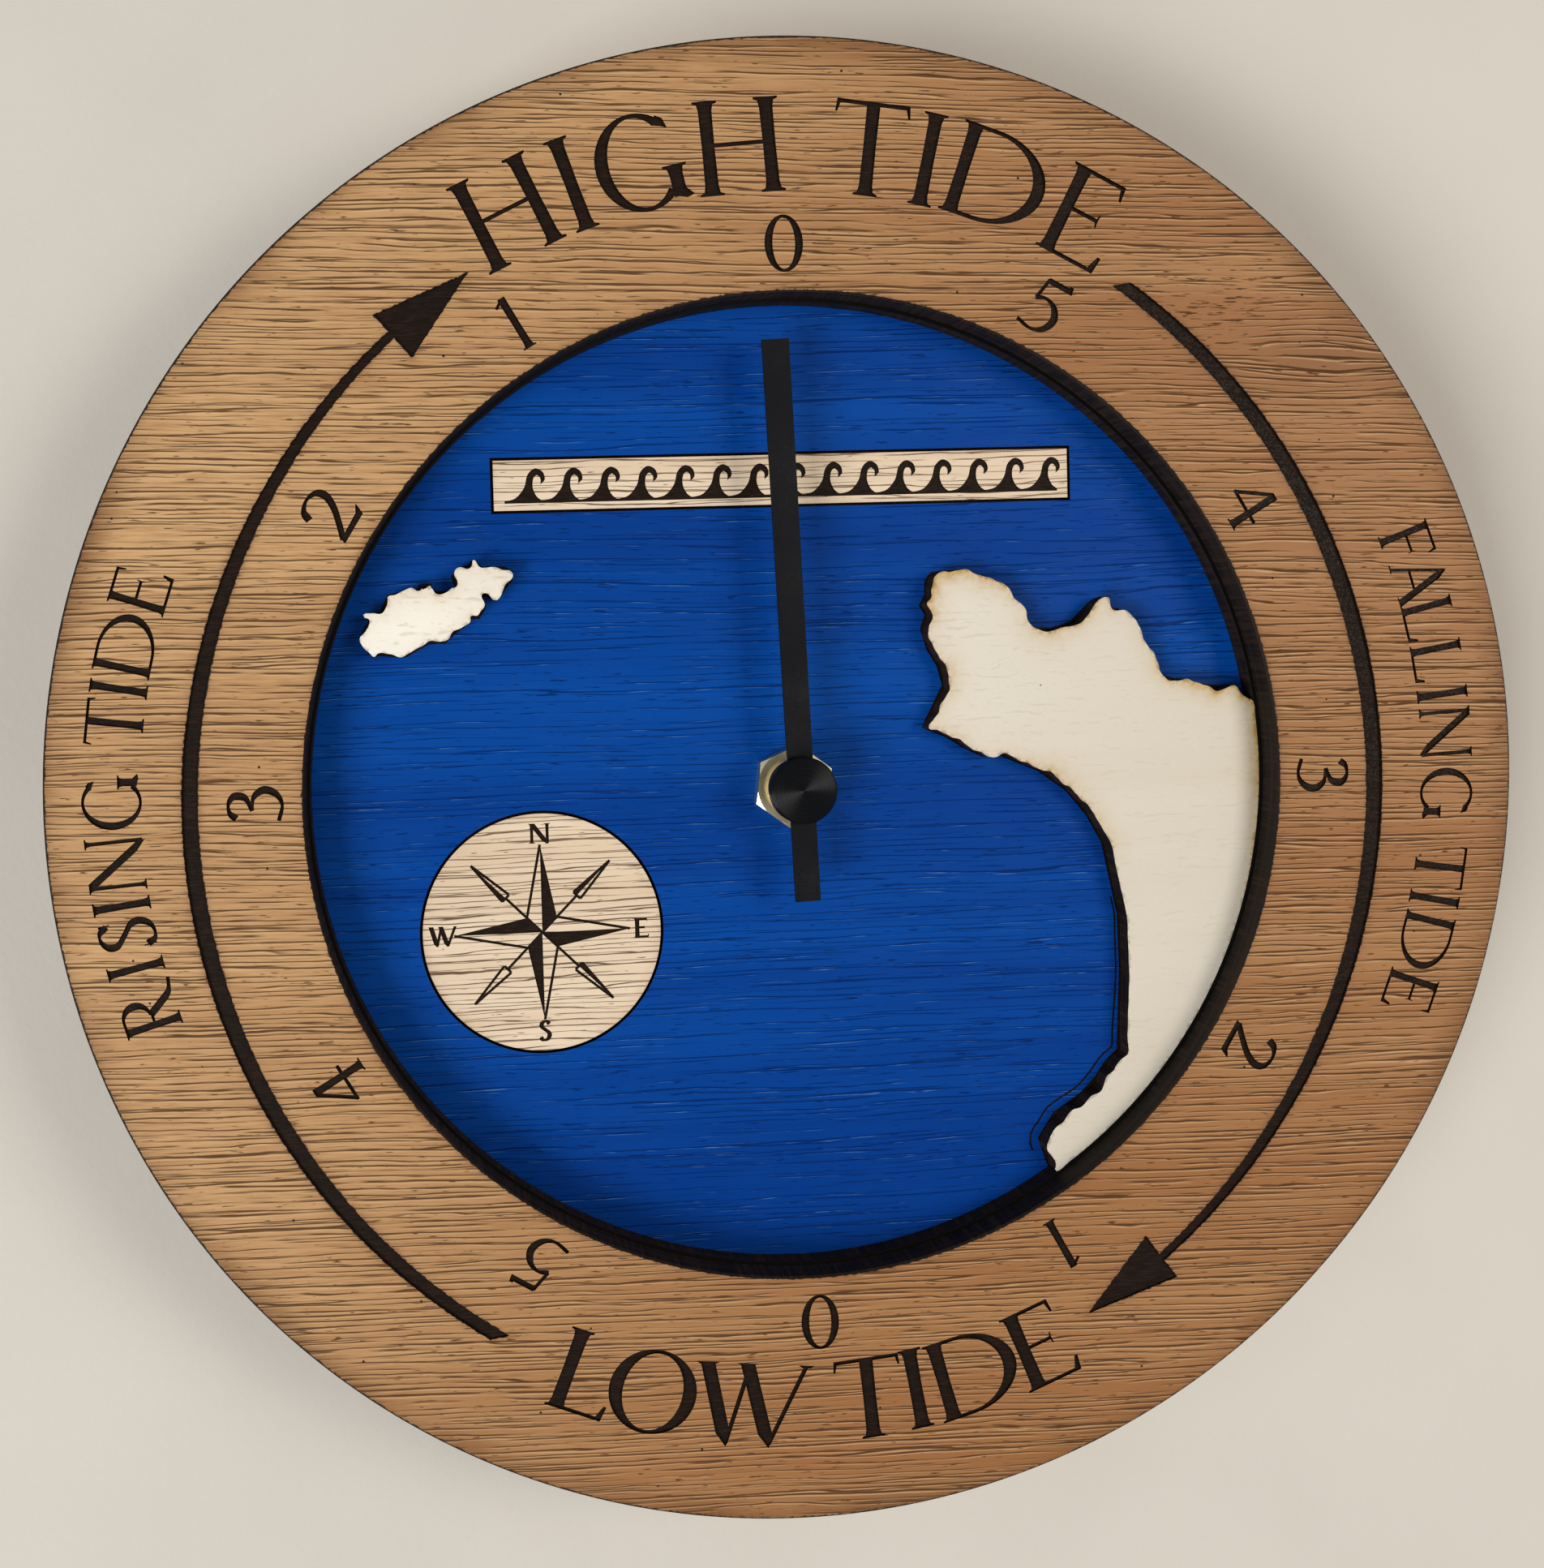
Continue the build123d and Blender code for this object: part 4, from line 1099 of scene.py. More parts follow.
@dataclass(frozen=True)
class Legend:
    """A word or figure set round the ring, each letter at its own angle."""

    text: str
    baseline: float
    cap: float
    turns: tuple[float, ...]
    hand: Lettering
    outward: bool = True

    def outlines(self) -> list[Loop]:
        """Set the letters down on the ring.

        Returns:
            The word's outlines, in millimetres.
        """
        sign = 1.0 if self.outward else -1.0
        middle = self.baseline + sign * self.cap / 2
        out: list[Loop] = []
        for letter, turn in zip(self.text, self.turns):
            loops = self.hand.glyph(letter)
            ends = np.concatenate(loops)[:, 0]
            half = (ends.min() + ends.max()) / 2
            centred = math.radians(turn) + sign * half * self.cap / middle
            c, s = math.cos(centred), math.sin(centred)
            for loop in loops:
                x, y = (loop[:, 0] - half) * self.cap * sign, self.baseline + sign * loop[:, 1] * self.cap
                out.append(np.column_stack((x * c + y * s, y * c - x * s)))
        return out


@dataclass(frozen=True)
class ArcArrow:
    """A tapering arrow that runs round the ring.

    Each corner is a radius and an angle, and each band is the shaft's inner and outer radius.
    """

    tail: float
    neck: float
    tip: Pair
    corners: tuple[Pair, Pair]
    bands: tuple[Pair, Pair, Pair]
    cut: float = 1.4
    steps: int = 90

    def outlines(self) -> list[Loop]:
        """Draw the arrow.

        Returns:
            The shaft's and the head's outlines.
        """
        share = np.linspace(0.0, 1.0, self.steps)
        weights = ((1 - share) * (1 - 2 * share), 4 * share * (1 - share), share * (2 * share - 1))
        radii = np.column_stack(weights) @ np.array(self.bands)
        inner = self.on_ring(radii[:, 0], self.tail + (self.neck - self.tail) * share)
        slanted = self.tail + math.copysign(self.cut, self.neck - self.tail)
        outer = self.on_ring(radii[:, 1], slanted + (self.neck - slanted) * share)
        head = np.array([self.tip, *self.corners])
        return [np.vstack((inner, outer[::-1])), dense(self.on_ring(head[:, 0], head[:, 1]), 1.0)]

    @staticmethod
    def on_ring(radius: np.ndarray, degrees: np.ndarray) -> Loop:
        """Return points at radii and clockwise angles from the top."""
        turn = np.radians(degrees)
        return np.column_stack((radius * np.sin(turn), radius * np.cos(turn)))


# Boards


def mesh_object(name: str, points: np.ndarray, faces: Sequence[Sequence[int]], materials: Sequence[Material],
                zones: Sequence[int] | None = None) -> Object:
    """Make a mesh object at the origin.

    Args:
        name: Name of the piece.
        points: Corners in metres.
        faces: Corner numbers of each face.
        materials: Its materials.
        zones: Material number of each face.

    Returns:
        The object, linked to the scene.
    """
    mesh = bpy.data.meshes.new(name)
    mesh.from_pydata([tuple(p) for p in points], [], [tuple(f) for f in faces])
    for material in materials:
        mesh.materials.append(material)
    if zones is not None:
        mesh.polygons.foreach_set("material_index", np.asarray(zones, dtype=np.int32))
    mesh.update()
    piece = bpy.data.objects.new(name, mesh)
    bpy.context.scene.collection.objects.link(piece)
    return piece


def nearest(samples: np.ndarray, points: np.ndarray) -> np.ndarray:
    """Measure how near points are to some samples.

    Args:
        samples: The places measured to.
        points: The places measured from.

    Returns:
        Each point's distance to the nearest sample.
    """
    tree = kdtree.KDTree(len(samples))
    for i, (x, y) in enumerate(samples):
        tree.insert((x, y, 0.0), i)
    tree.balance()
    return np.array([tree.find((x, y, 0.0))[2] for x, y in points])


def fill_flat(points: np.ndarray, edges: list[Edge],
              near: float) -> tuple[np.ndarray, np.ndarray, list[list[int]]]:
    """Fill a flat shape with triangles that keep its edges.

    Args:
        points: Its corners and any points inside.
        edges: Corner numbers of each edge.
        near: How close two corners may be before they become one.

    Returns:
        The corners, the triangles, and the given points that each corner came from.
    """
    made = geometry.delaunay_2d_cdt([Vector(p) for p in points], edges, [], 0, near)
    return np.array([tuple(v) for v in made[0]]), np.array([f for f in made[2] if len(f) == 3]), made[3]


def winding(tris: np.ndarray) -> np.ndarray:
    """Return which way flat triangles turn: above 0 for counter-clockwise."""
    a, b, c = tris[:, 0], tris[:, 1], tris[:, 2]
    return (b[:, 0] - a[:, 0]) * (c[:, 1] - a[:, 1]) - (b[:, 1] - a[:, 1]) * (c[:, 0] - a[:, 0])


@dataclass
class CutBoard:
    """A flat board cut by laser, with marks sunk into its front face.

    Its face has a point about every pitch, and more at the guards' distances beside the burnt lines, where
    the burn fades within its reach. The clear shares keep points apart, as parts of the pitch or first guard.
    """

    name: str
    middle: np.ndarray
    loops: list[Loop]
    y_front: float
    y_back: float
    marks: list[Mark] = field(default_factory=list)
    edge_break: float = 0.0
    pitch: float = 2.0
    reach: float = 0.5
    burnt: list[Loop] = field(default_factory=list)
    guards: tuple[float, ...] = (0.3, 0.8, 1.7)
    row_share: float = 0.866
    line_clear: float = 0.42
    guard_clear: float = 0.75
    grid_clear: float = 0.3
    face_near: float = 1e-4
    back_near: float = 1e-6

    def inside(self, points: np.ndarray) -> np.ndarray:
        """Return which points lie on the board."""
        holes = [holds(hole, points) for hole in self.loops[1:]]
        return holds(self.loops[0], points) & ~np.any([np.zeros(len(points), dtype=bool), *holes], axis=0)

    def fill_points(self, taken: np.ndarray) -> np.ndarray:
        """Spread points over the board's face.

        Args:
            taken: Points along its outlines and marks.

        Returns:
            Points on the board that keep clear of those.
        """
        low, high = self.loops[0].min(axis=0), self.loops[0].max(axis=0)
        rows = np.arange(low[1], high[1], self.pitch * self.row_share)
        cols = np.arange(low[0], high[0], self.pitch)
        grid = np.array([(x + (i % 2) * self.pitch / 2, y) for i, y in enumerate(rows) for x in cols])
        grid = grid[self.inside(grid)]
        grid = grid[nearest(taken, grid) > self.pitch * self.line_clear]
        if not self.burnt:
            return grid
        extra = np.concatenate([offset(dense(line, 1.0), side * guard) for line in self.burnt
                                for guard in self.guards for side in (1.0, -1.0)])
        extra = extra[self.inside(extra)]
        extra = extra[nearest(taken, extra) > min(self.guards) * self.guard_clear]
        return np.concatenate((extra, grid[nearest(extra, grid) > self.pitch * self.grid_clear]))

    def triangulate(self) -> tuple[np.ndarray, np.ndarray, np.ndarray]:
        """Fill the front face with triangles that keep every outline as an edge.

        Returns:
            Its corners, its triangles, and how deep each triangle is sunk.
        """
        lines = [*self.loops, *(loop for loop, _ in self.marks)]
        edges: list[Edge] = []
        for line in lines:
            first, count = len(edges), len(line)
            edges += [(first + i, first + (i + 1) % count) for i in range(count)]
        taken = np.concatenate([dense(line, min(self.pitch * 0.5, 0.5)) for line in lines])
        every = np.concatenate((*lines, self.fill_points(taken)))
        top, tris, _ = fill_flat(every, edges, self.face_near)
        tris = tris[self.inside(top[tris].mean(axis=1))]
        middle = top[tris].mean(axis=1)
        back_to_front = winding(top[tris]) < 0
        tris[back_to_front] = tris[back_to_front][:, ::-1]
        sunk = np.zeros(len(tris))
        for loop, depth in self.marks:
            sunk = np.maximum(sunk, np.where(holds(loop, middle), depth, 0.0))
        return top, tris, sunk

    def build(self, materials: Sequence[Material]) -> Object:
        """Build the board.

        Args:
            materials: Materials of its face, edges, marks and back.

        Returns:
            The finished piece.
        """
        top, tris, sunk = self.triangulate()
        points: list[Triple] = []
        index: dict[tuple[int, float], int] = {}
        faces: list[tuple[int, ...]] = []
        zones: list[int] = []

        def corner(v: int, depth: float) -> int:
            """Return the number of a corner at a depth below the front face."""
            key = (v, round(depth, 4))
            if key not in index:
                index[key] = len(points)
                points.append((top[v, 0], self.y_front + depth, top[v, 1]))
            return index[key]

        sides: dict[Edge, float] = {}
        for tri, depth in zip(tris.tolist(), sunk.tolist()):
            faces.append(tuple(corner(v, depth) for v in tri))
            zones.append(Zone.MARK if depth else Zone.FACE)
            sides.update({side: depth for side in zip(tri, tri[1:] + tri[:1])})
        rim = [(a, b) for a, b in sides if (b, a) not in sides]
        for (a, b), depth in sides.items():
            other = sides.get((b, a), depth)
            if depth < other:
                faces.append((corner(b, depth), corner(a, depth), corner(a, other), corner(b, other)))
                zones.append(Zone.MARK)
        front = {v: corner(v, 0.0) for side in rim for v in side}
        self.close(rim, front, top, points, faces, zones)
        piece = mesh_object(self.name, np.array(points) * MM + self.middle, faces, materials, zones)
        self.burn(piece, np.array(points))
        return piece

    def close(self, rim: list[Edge], front: dict[int, int], top: np.ndarray, points: list[Triple],
              faces: list[tuple[int, ...]], zones: list[int]) -> None:
        """Add the cut edges, with their broken corner, and the rear face.

        Args:
            rim: Sides of the front face that no other triangle shares.
            front: Number of each corner of the rim.
            top: Places of the front face's corners.
            points: The board's points, added to.
            faces: Its faces, added to.
            zones: The faces' material slots, added to.
        """
        out: dict[int, np.ndarray] = {}
        for a, b in rim:
            run = top[b] - top[a]
            side = np.array((run[1], -run[0])) / max(TINY, float(np.linalg.norm(run)))
            for v in (a, b):
                out[v] = out.get(v, np.zeros(2)) + side
        spots = {v: top[v] + side / max(TINY, float(np.linalg.norm(side))) * self.edge_break
                 for v, side in out.items()}
        rings = [front]
        for y in ([self.y_front + self.edge_break] if self.edge_break else []) + [self.y_back]:
            rings.append({v: len(points) + i for i, v in enumerate(spots)})
            points += [(x, y, z) for x, z in spots.values()]
        for a, b in rim:
            for upper, lower in zip(rings, rings[1:]):
                faces.append((upper[b], upper[a], lower[a], lower[b]))
                zones.append(Zone.EDGE)
        order = list(spots)
        lookup = {v: i for i, v in enumerate(order)}
        edges = [(lookup[a], lookup[b]) for a, b in rim]
        flat, tris, source = fill_flat(np.array(list(spots.values())), edges, self.back_near)
        tris = tris[self.inside(flat[tris].mean(axis=1))]
        for tri, turn in zip(tris, winding(flat[tris])):
            ids = [rings[-1][order[source[i][0]]] for i in tri]
            faces.append(tuple(ids[::-1] if turn > 0 else ids))
            zones.append(Zone.BACK)

    def burn(self, piece: Object, points: np.ndarray) -> None:
        """Store how near each corner lies to a burnt cut, from 0 to 1.

        Args:
            piece: The finished piece.
            points: Its corners, in millimetres.
        """
        samples = np.concatenate([dense(line, 0.3) for line in self.burnt or self.loops[:1]])
        gap = nearest(samples, points[:, (0, 2)])
        value = np.where(points[:, 1] > self.y_front + 1e-6, 1.0, np.exp(-gap / self.reach))
        layer = piece.data.attributes.new("burn", "FLOAT", "POINT")
        layer.data.foreach_set("value", value.astype(np.float32))


def dial_middle() -> np.ndarray:
    """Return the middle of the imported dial's front face, in metres."""
    low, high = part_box("dial_disc")
    return np.array(((low[0] + high[0]) / 2, low[1], (low[2] + high[2]) / 2))


def node_outline(node: Object, middle: np.ndarray) -> Loop:
    """Find the outline of a packed board's front face.

    Args:
        node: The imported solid.
        middle: The middle of the dial.

    Returns:
        Its outline in millimetres, counter-clockwise from the front.
    """
    points = (np.array([v.co[:] for v in node.data.vertices]) - middle) / MM
    front = points[:, 1].min() + 0.01
    names: dict[Pair, int] = {}
    sides: set[Edge] = set()
    for poly in node.data.polygons:
        corners = points[list(poly.vertices)]
        if np.all(corners[:, 1] < front):
            spots = corners[:, (0, 2)].round(3).tolist()
            ids = [names.setdefault((x, z), len(names)) for x, z in spots]
            sides |= set(zip(ids, ids[1:] + ids[:1]))
    rim = {a: b for a, b in sides if (b, a) not in sides}
    loop = [next(iter(rim))]
    while rim[loop[-1]] != loop[0]:
        loop.append(rim[loop[-1]])
    out = np.array(list(names))[loop]
    area = np.sum(out[:, 0] * np.roll(out[:, 1], -1) - np.roll(out[:, 0], -1) * out[:, 1])
    return out if area > 0 else out[::-1]


class NodeShape:
    """A Geometry Nodes tree with named sizes, whose result becomes a plain mesh."""

    def __init__(self, name: str, sizes: dict[str, float | int]) -> None:
        """Make an empty tree.

        Args:
            name: Name of the tree.
            sizes: Value of each named input, in metres, degrees or counts.
        """
        self.tree = bpy.data.node_groups.new(name, "GeometryNodeTree")
        self.sizes = sizes
        kinds = {"Points": "NodeSocketGeometry"}
        for label, value in sizes.items():
            kinds[label] = "NodeSocketInt" if isinstance(value, int) else "NodeSocketFloat"
        kinds["Finish"] = "NodeSocketMaterial"
        new = self.tree.interface.new_socket
        self.keys = {k: new(k, in_out="INPUT", socket_type=kind).identifier for k, kind in kinds.items()}
        new("Shape", in_out="OUTPUT", socket_type="NodeSocketGeometry")
        self.graph = Graph(self.tree)
        start = self.graph.node("NodeGroupInput").outputs
        self.given = {label: Value(self.graph, start[label]) for label in kinds}

    def moved(self, shape: Value, at: Any = ORIGIN, turn: Any = ORIGIN) -> Value:
        """Return a shape moved and turned."""
        keys = {"Geometry": shape, "Translation": at, "Rotation": turn}
        return self.graph.out("GeometryNodeTransform", keys)

    def joined(self, *shapes: Value) -> Value:
        """Return several shapes as one."""
        made = self.graph.node("GeometryNodeJoinGeometry")
        for shape in shapes:
            self.graph.feed(made.inputs[0], shape)
        return Value(self.graph, made.outputs[0])

    def repeat(self, shape: Value, turn: Value | None = None) -> None:
        """End the tree with the shape at each point, as real faces with their finish.

        Args:
            shape: The shape.
            turn: How each copy is turned, if it is.
        """
        g = self.graph
        keys = {"Points": self.given["Points"], "Instance": shape}
        if turn is not None:
            keys["Rotation"] = g.out("FunctionNodeEulerToRotation", {0: turn})
        real = g.out("GeometryNodeRealizeInstances", {0: g.out("GeometryNodeInstanceOnPoints", keys)})
        dressed = g.out("GeometryNodeSetMaterial", {"Geometry": real, "Material": self.given["Finish"]})
        g.node("NodeGroupOutput", {0: dressed})

    def grow(self, name: str, points: np.ndarray, material: Material) -> Object:
        """Make the tree's result at some points into a plain piece.

        Args:
            name: Name of the piece.
            points: Places in the frame, in metres.
            material: Its material.

        Returns:
            The piece, with no modifier left on it.
        """
        piece = mesh_object(name, points, [], [])
        modifier = piece.modifiers.new("shape", "NODES")
        modifier.node_group = self.tree
        for label, value in {**self.sizes, "Finish": material}.items():
            modifier[self.keys[label]] = value
        evaluated = piece.evaluated_get(bpy.context.evaluated_depsgraph_get())
        mesh = bpy.data.meshes.new_from_object(evaluated)
        piece.modifiers.remove(modifier)
        seeds, piece.data = piece.data, mesh
        bpy.data.meshes.remove(seeds)
        if not mesh.materials:
            mesh.materials.append(material)
        return piece


# Sub-assemblies


@dataclass
class Assembly:
    """A group of pieces that shares the dial's middle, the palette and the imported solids."""

    middle: np.ndarray
    palette: Palette
    nodes: dict[str, Object]

    def paint(self, finish: str, *names: str) -> None:
        """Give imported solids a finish.

        Args:
            finish: The finish.
            names: The solids.
        """
        for name in names:
            slots = self.nodes[name].data.materials
            slots.clear()
            slots.append(self.palette[finish])
            LOG.info("painted %s with %s", name, finish)

    def settle(self, piece: Object, body: Body, slot: str, *replaced: str) -> None:
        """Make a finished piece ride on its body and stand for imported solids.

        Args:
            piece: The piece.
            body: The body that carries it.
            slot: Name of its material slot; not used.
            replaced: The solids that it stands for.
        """
        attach(piece, body.value)
        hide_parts(*replaced)
        LOG.info("piece %s: %d faces", piece.name, len(piece.data.polygons))

    def engrave(self, board: CutBoard, face: str, slot: str, replaced: str) -> None:
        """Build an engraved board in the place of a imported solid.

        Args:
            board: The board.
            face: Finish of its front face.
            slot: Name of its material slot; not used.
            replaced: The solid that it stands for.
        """
        materials = [self.palette[name] for name in (face, "charred_cut", "burnt_mark", "bare_board")]
        self.settle(board.build(materials), Body.CLOCK, slot, replaced)


@dataclass
class Surround(Assembly):
    """The wide front ring with its legends, and the spacer under it."""

    ring_r: float = 150.0
    well_r: float = 99.6
    sides: tuple[int, int] = (360, 300)
    y_front: float = -10.0
    y_back: float = -4.0
    edge_break: float = 0.4
    pitch: float = 2.2
    burn_reach: float = 0.7
    mark_depth: float = 0.5
    mark_step: float = 1.2
    words: tuple[Legend, ...] = (
        Legend("HIGHTIDE", 119.3, 18.6, (-28.6, -19.63, -10.4, -7.05, 7.42, 12.8, 16.07, 26.14),
               Lettering(0.148)),
        Legend("LOWTIDE", 134.4, 16.8, (203.7, 195.6, 185.9, 175.05, 170.6, 167.9, 159.75),
               Lettering(0.172), False),
        Legend("RISINGTIDE", 131.2, 11.2,
               (-107.64, -102.73, -99.85, -97.45, -95.8, -87.25, -82.38, -79.56, -77.8, -72.35),
               Lettering(0.135, 0.05)),
        Legend("FALLINGTIDE", 130.5, 11.0,
               (69.2, 73.4, 75.9, 79.66, 83.7, 85.3, 94.05, 98.9, 101.83, 103.74, 109.2),
               Lettering(0.135, 0.05)),
    )
    figures: Legend = Legend(
        "012345012345", 103.6, 11.1,
        (-0.6, -30.5, -57.9, -89.3, -120.5, -149.2, 179.5, 151.4, 121.7, 90.5, 59.55, 28.3),
        Lettering(0.145, 0.055))
    rising: ArcArrow = ArcArrow(-149.9, -40.2, (122.3, -31.6), ((126.9, -40.7), (115.8, -40.7)),
                                ((124.75, 127.2), (120.4, 123.6), (121.0, 122.6)))
    falling: ArcArrow = ArcArrow(33.5, 144.3, (124.9, 152.7), ((118.3, 143.8), (129.4, 143.8)),
                                 ((119.75, 122.4), (118.5, 122.0), (123.2, 124.9)))

    def build(self) -> None:
        """Build the ring and dress the spacer."""
        loops = [circle(radius, count) for radius, count in
                 zip((self.ring_r - self.edge_break, self.well_r + self.edge_break), self.sides)]
        legends = [loop for legend in (*self.words, self.figures) for loop in legend.outlines()]
        arrows = [dense(loop, self.mark_step) for loop in self.rising.outlines() + self.falling.outlines()]
        cut = [dense(loop, self.mark_step) for loop in legends] + arrows
        marks = [(loop, self.mark_depth) for loop in cut]
        board = CutBoard("engraved_ring", self.middle, loops, self.y_front, self.y_back, marks,
                         self.edge_break, self.pitch, self.burn_reach, loops + arrows)
        self.engrave(board, "oiled_oak", "oak", "bezel_ring")
        self.paint("charred_cut", "spacer_ring")


@dataclass(frozen=True)
class CompassRose:
    """A traditional rose: four half-shaded points, four darts, one of them open, and four letters."""

    reach: float = 18.2
    waist: float = 3.1
    line: float = 0.55
    dart: Triple = (4.0, 10.4, 20.3)
    dart_half: float = 1.0
    open_dart: str = "S"
    cap: float = 4.1
    letter_r: float = 20.5
    hand: Lettering = Lettering(0.235, 0.115, 0.09)
    step: float = 0.8

    def stroke(self, a: Pair, b: Pair) -> Loop:
        """Return a thin straight stroke."""
        run = np.subtract(b, a)
        side = np.array((-run[1], run[0])) / np.linalg.norm(run) * self.line / 2
        return np.array([a - side, b - side, b + side, a + side])

    def point(self) -> list[Loop]:
        """Return the upper main point: one half filled, the other outlined."""
        middle, tip = (0.0, 0.0), (0.0, self.reach)
        left, right = (-self.waist, self.waist), (self.waist, self.waist)
        return [np.array([middle, right, tip]), self.stroke(tip, left), self.stroke(left, middle)]

    def dart_shape(self, filled: bool) -> list[Loop]:
        """Draw an upright outlined dart on its thin shaft.

        Args:
            filled: Whether its left half is filled.

        Returns:
            Its outlines.
        """
        near, mid, far = self.dart
        foot, tip, left, right = (0.0, mid), (0.0, far), (-self.dart_half, mid), (self.dart_half, mid)
        sides = (((0.0, near), foot), (tip, left), (tip, right), (left, right))
        out = [self.stroke(a, b) for a, b in sides]
        return out + [np.array([foot, tip, left])] if filled else out

    def outlines(self) -> list[Loop]:
        """Draw the rose.

        Returns:
            Every outline of the rose about its own centre.
        """
        out: list[Loop] = []
        for quarter, letter in enumerate("NESW"):
            turn = math.radians(90.0 * quarter)
            dart = self.dart_shape(letter != self.open_dart)
            for angle, shapes in ((turn, self.point()), (turn + math.pi / 4, dart)):
                c, s = math.cos(angle), math.sin(angle)
                out += [loop @ np.array(((c, -s), (s, c))) for loop in shapes]
            parts = self.hand.glyph(letter)
            ends = np.concatenate(parts)[:, 0]
            centre = np.array((math.sin(turn), math.cos(turn))) * self.letter_r
            out += [(loop - ((ends.min() + ends.max()) / 2, 0.5)) * self.cap + centre for loop in parts]
        return [dense(loop, self.step) for loop in out]


@dataclass
class Dial(Assembly):
    """The painted dial board with its land pieces and inlays."""

    board_r: float = 150.0
    hole_r: float = 6.05
    thickness: float = 4.0
    board_pitch: float = 5.0
    inlay_t: float = 2.0
    inlay_step: float = 2.0
    inlay_guards: tuple[float, ...] = (0.4,)
    kerf: float = 0.6
    plate: Triple = (121.41, 11.40, 63.4)
    compass: Triple = (-52.89, -28.49, 25.2)
    mark_depth: float = 0.25
    foot_line: Pair = (0.45, -0.6)
    foot_step: float = 1.5
    stray_w: float = 0.4
    stray_top: float = -25.0
    stray_r: float = 96.0
    stray_gap: tuple[tuple[float, ...], tuple[float, ...]] = ((25.0, 47.0, 66.0, 84.0), (1.1, 1.4, 2.2, 2.6))
    stray_every: int = 3
    land_front: float = -4.0
    land_pitch: float = 1.8
    land_reach: float = 1.6
    land_guards: tuple[float, ...] = (0.3, 0.9, 1.8)
    shore_knots: float = 5.0
    shore_step: float = 0.45
    shore_r: float = 98.2
    bays: tuple[Pair, ...] = ((10.0, 0.14), (5.2, 0.13), (2.6, 0.03))
    calm: Triple = (-62.0, -4.0, 6.0)
    calm_share: float = 0.92
    coast_seed: int = 5
    waves: int = 15
    wave_pitch: float = 1.17
    wave_h: float = 6.6
    wave_low: float = 3.2
    wave_foot: Pair = (-0.45, 0.1)
    wave_over: tuple[Pair, ...] = ((0.0, 0.0), (0.35, 0.10), (0.62, 0.42), (0.73, 0.80), (0.96, 1.0),
                                   (1.20, 0.90), (1.27, 0.66), (1.13, 0.50))
    wave_under: tuple[Pair, ...] = ((1.13, 0.50), (1.13, 0.69), (1.02, 0.79), (0.91, 0.68), (0.89, 0.40),
                                    (1.0, 0.14), (1.17, 0.0))

    def build(self) -> None:
        """Build the dial, its land and its inlays."""
        self.board()
        self.land("mainland_piece", "mainland")
        self.land("island_piece", "island")
        self.scroll_plate()
        self.compass_plate()

    def plate_outline(self, trim: float) -> Loop:
        """Return the long inlay's outline, smaller by a trim on each side."""
        w, h, z = self.plate[0] / 2 - trim, self.plate[1] / 2 - trim, self.plate[2]
        return dense(np.array([(-w, z - h), (w, z - h), (w, z + h), (-w, z + h)]), self.inlay_step)

    def board(self) -> None:
        """Build the painted board with its two pockets and its setting-out lines."""
        x, z, r = self.compass
        pockets = (self.plate_outline(0.0), circle(r, 120, (x, z)))
        marks = [(loop, self.inlay_t) for loop in pockets] + self.guides()
        loops = [circle(self.board_r, 300), circle(self.hole_r, 48)]
        board = CutBoard("painted_dial", self.middle, loops, 0.0, self.thickness, marks,
                         pitch=self.board_pitch)
        self.engrave(board, "blue_paint", "dial_blue", "dial_disc")

    def guides(self) -> list[Mark]:
        """Draw the burnt setting-out lines on the dial round the land pieces.

        Returns:
            Each line's outline and depth: one at the foot of each piece, one that strays from the mainland.
        """
        out = []
        for node in ("mainland_piece", "island_piece"):
            foot = dense(node_outline(self.nodes[node], self.middle), self.foot_step)
            outer, inner = (offset(foot, by) for by in self.foot_line)
            out.append((np.vstack((outer, outer[:1], inner[:1], inner[::-1])), self.mark_depth))
            shore = self.shore(node)[::self.stray_every]
            shore = np.roll(shore, -int(shore[:, 1].argmax()), axis=0)
            inside = (shore[:, 1] < self.stray_top) & (np.hypot(shore[:, 0], shore[:, 1]) < self.stray_r)
            stray = shore[inside]
            if len(stray):
                gap = np.interp(-stray[:, 1], *self.stray_gap)[:, None]
                far, near = (offset(stray, by)[1:-1] for by in (gap, gap - self.stray_w))
                out.append((np.vstack((far, near[::-1])), self.mark_depth))
        return out

    def shore(self, node: str) -> Loop:
        """Return a land piece's outline as a smooth line."""
        knots = dense(node_outline(self.nodes[node], self.middle), self.shore_knots)
        return dense(smooth(knots, 4, closed=True), self.shore_step)

    def coast(self, node: str) -> Loop:
        """Cut small bays and points into a land piece's outline.

        Args:
            node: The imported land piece.

        Returns:
            The outline, smooth along its calm stretch and along the well.
        """
        line = self.shore(node)
        step = np.linalg.norm(np.roll(line, -1, axis=0) - line, axis=1)
        along = np.concatenate(((0.0,), np.cumsum(step)[:-1])) * 2.0 * math.pi / step.sum()
        random = np.random.default_rng(self.coast_seed)
        wave = np.zeros(len(line))
        for length, size in self.bays:
            count = max(3, round(step.sum() / length))
            for k in range(count - 2, count + 3):
                wave += size * np.sin(along * k + random.uniform(0.0, 2.0 * math.pi))
        low, high, fade = self.calm
        quiet = np.clip((line[:, 1] - low) / fade, 0.0, 1.0) * np.clip((high - line[:, 1]) / fade, 0.0, 1.0)
        wave *= 1.0 - self.calm_share * quiet
        wave[np.hypot(line[:, 0], line[:, 1]) > self.shore_r] = 0.0
        return offset(line, wave[:, None])

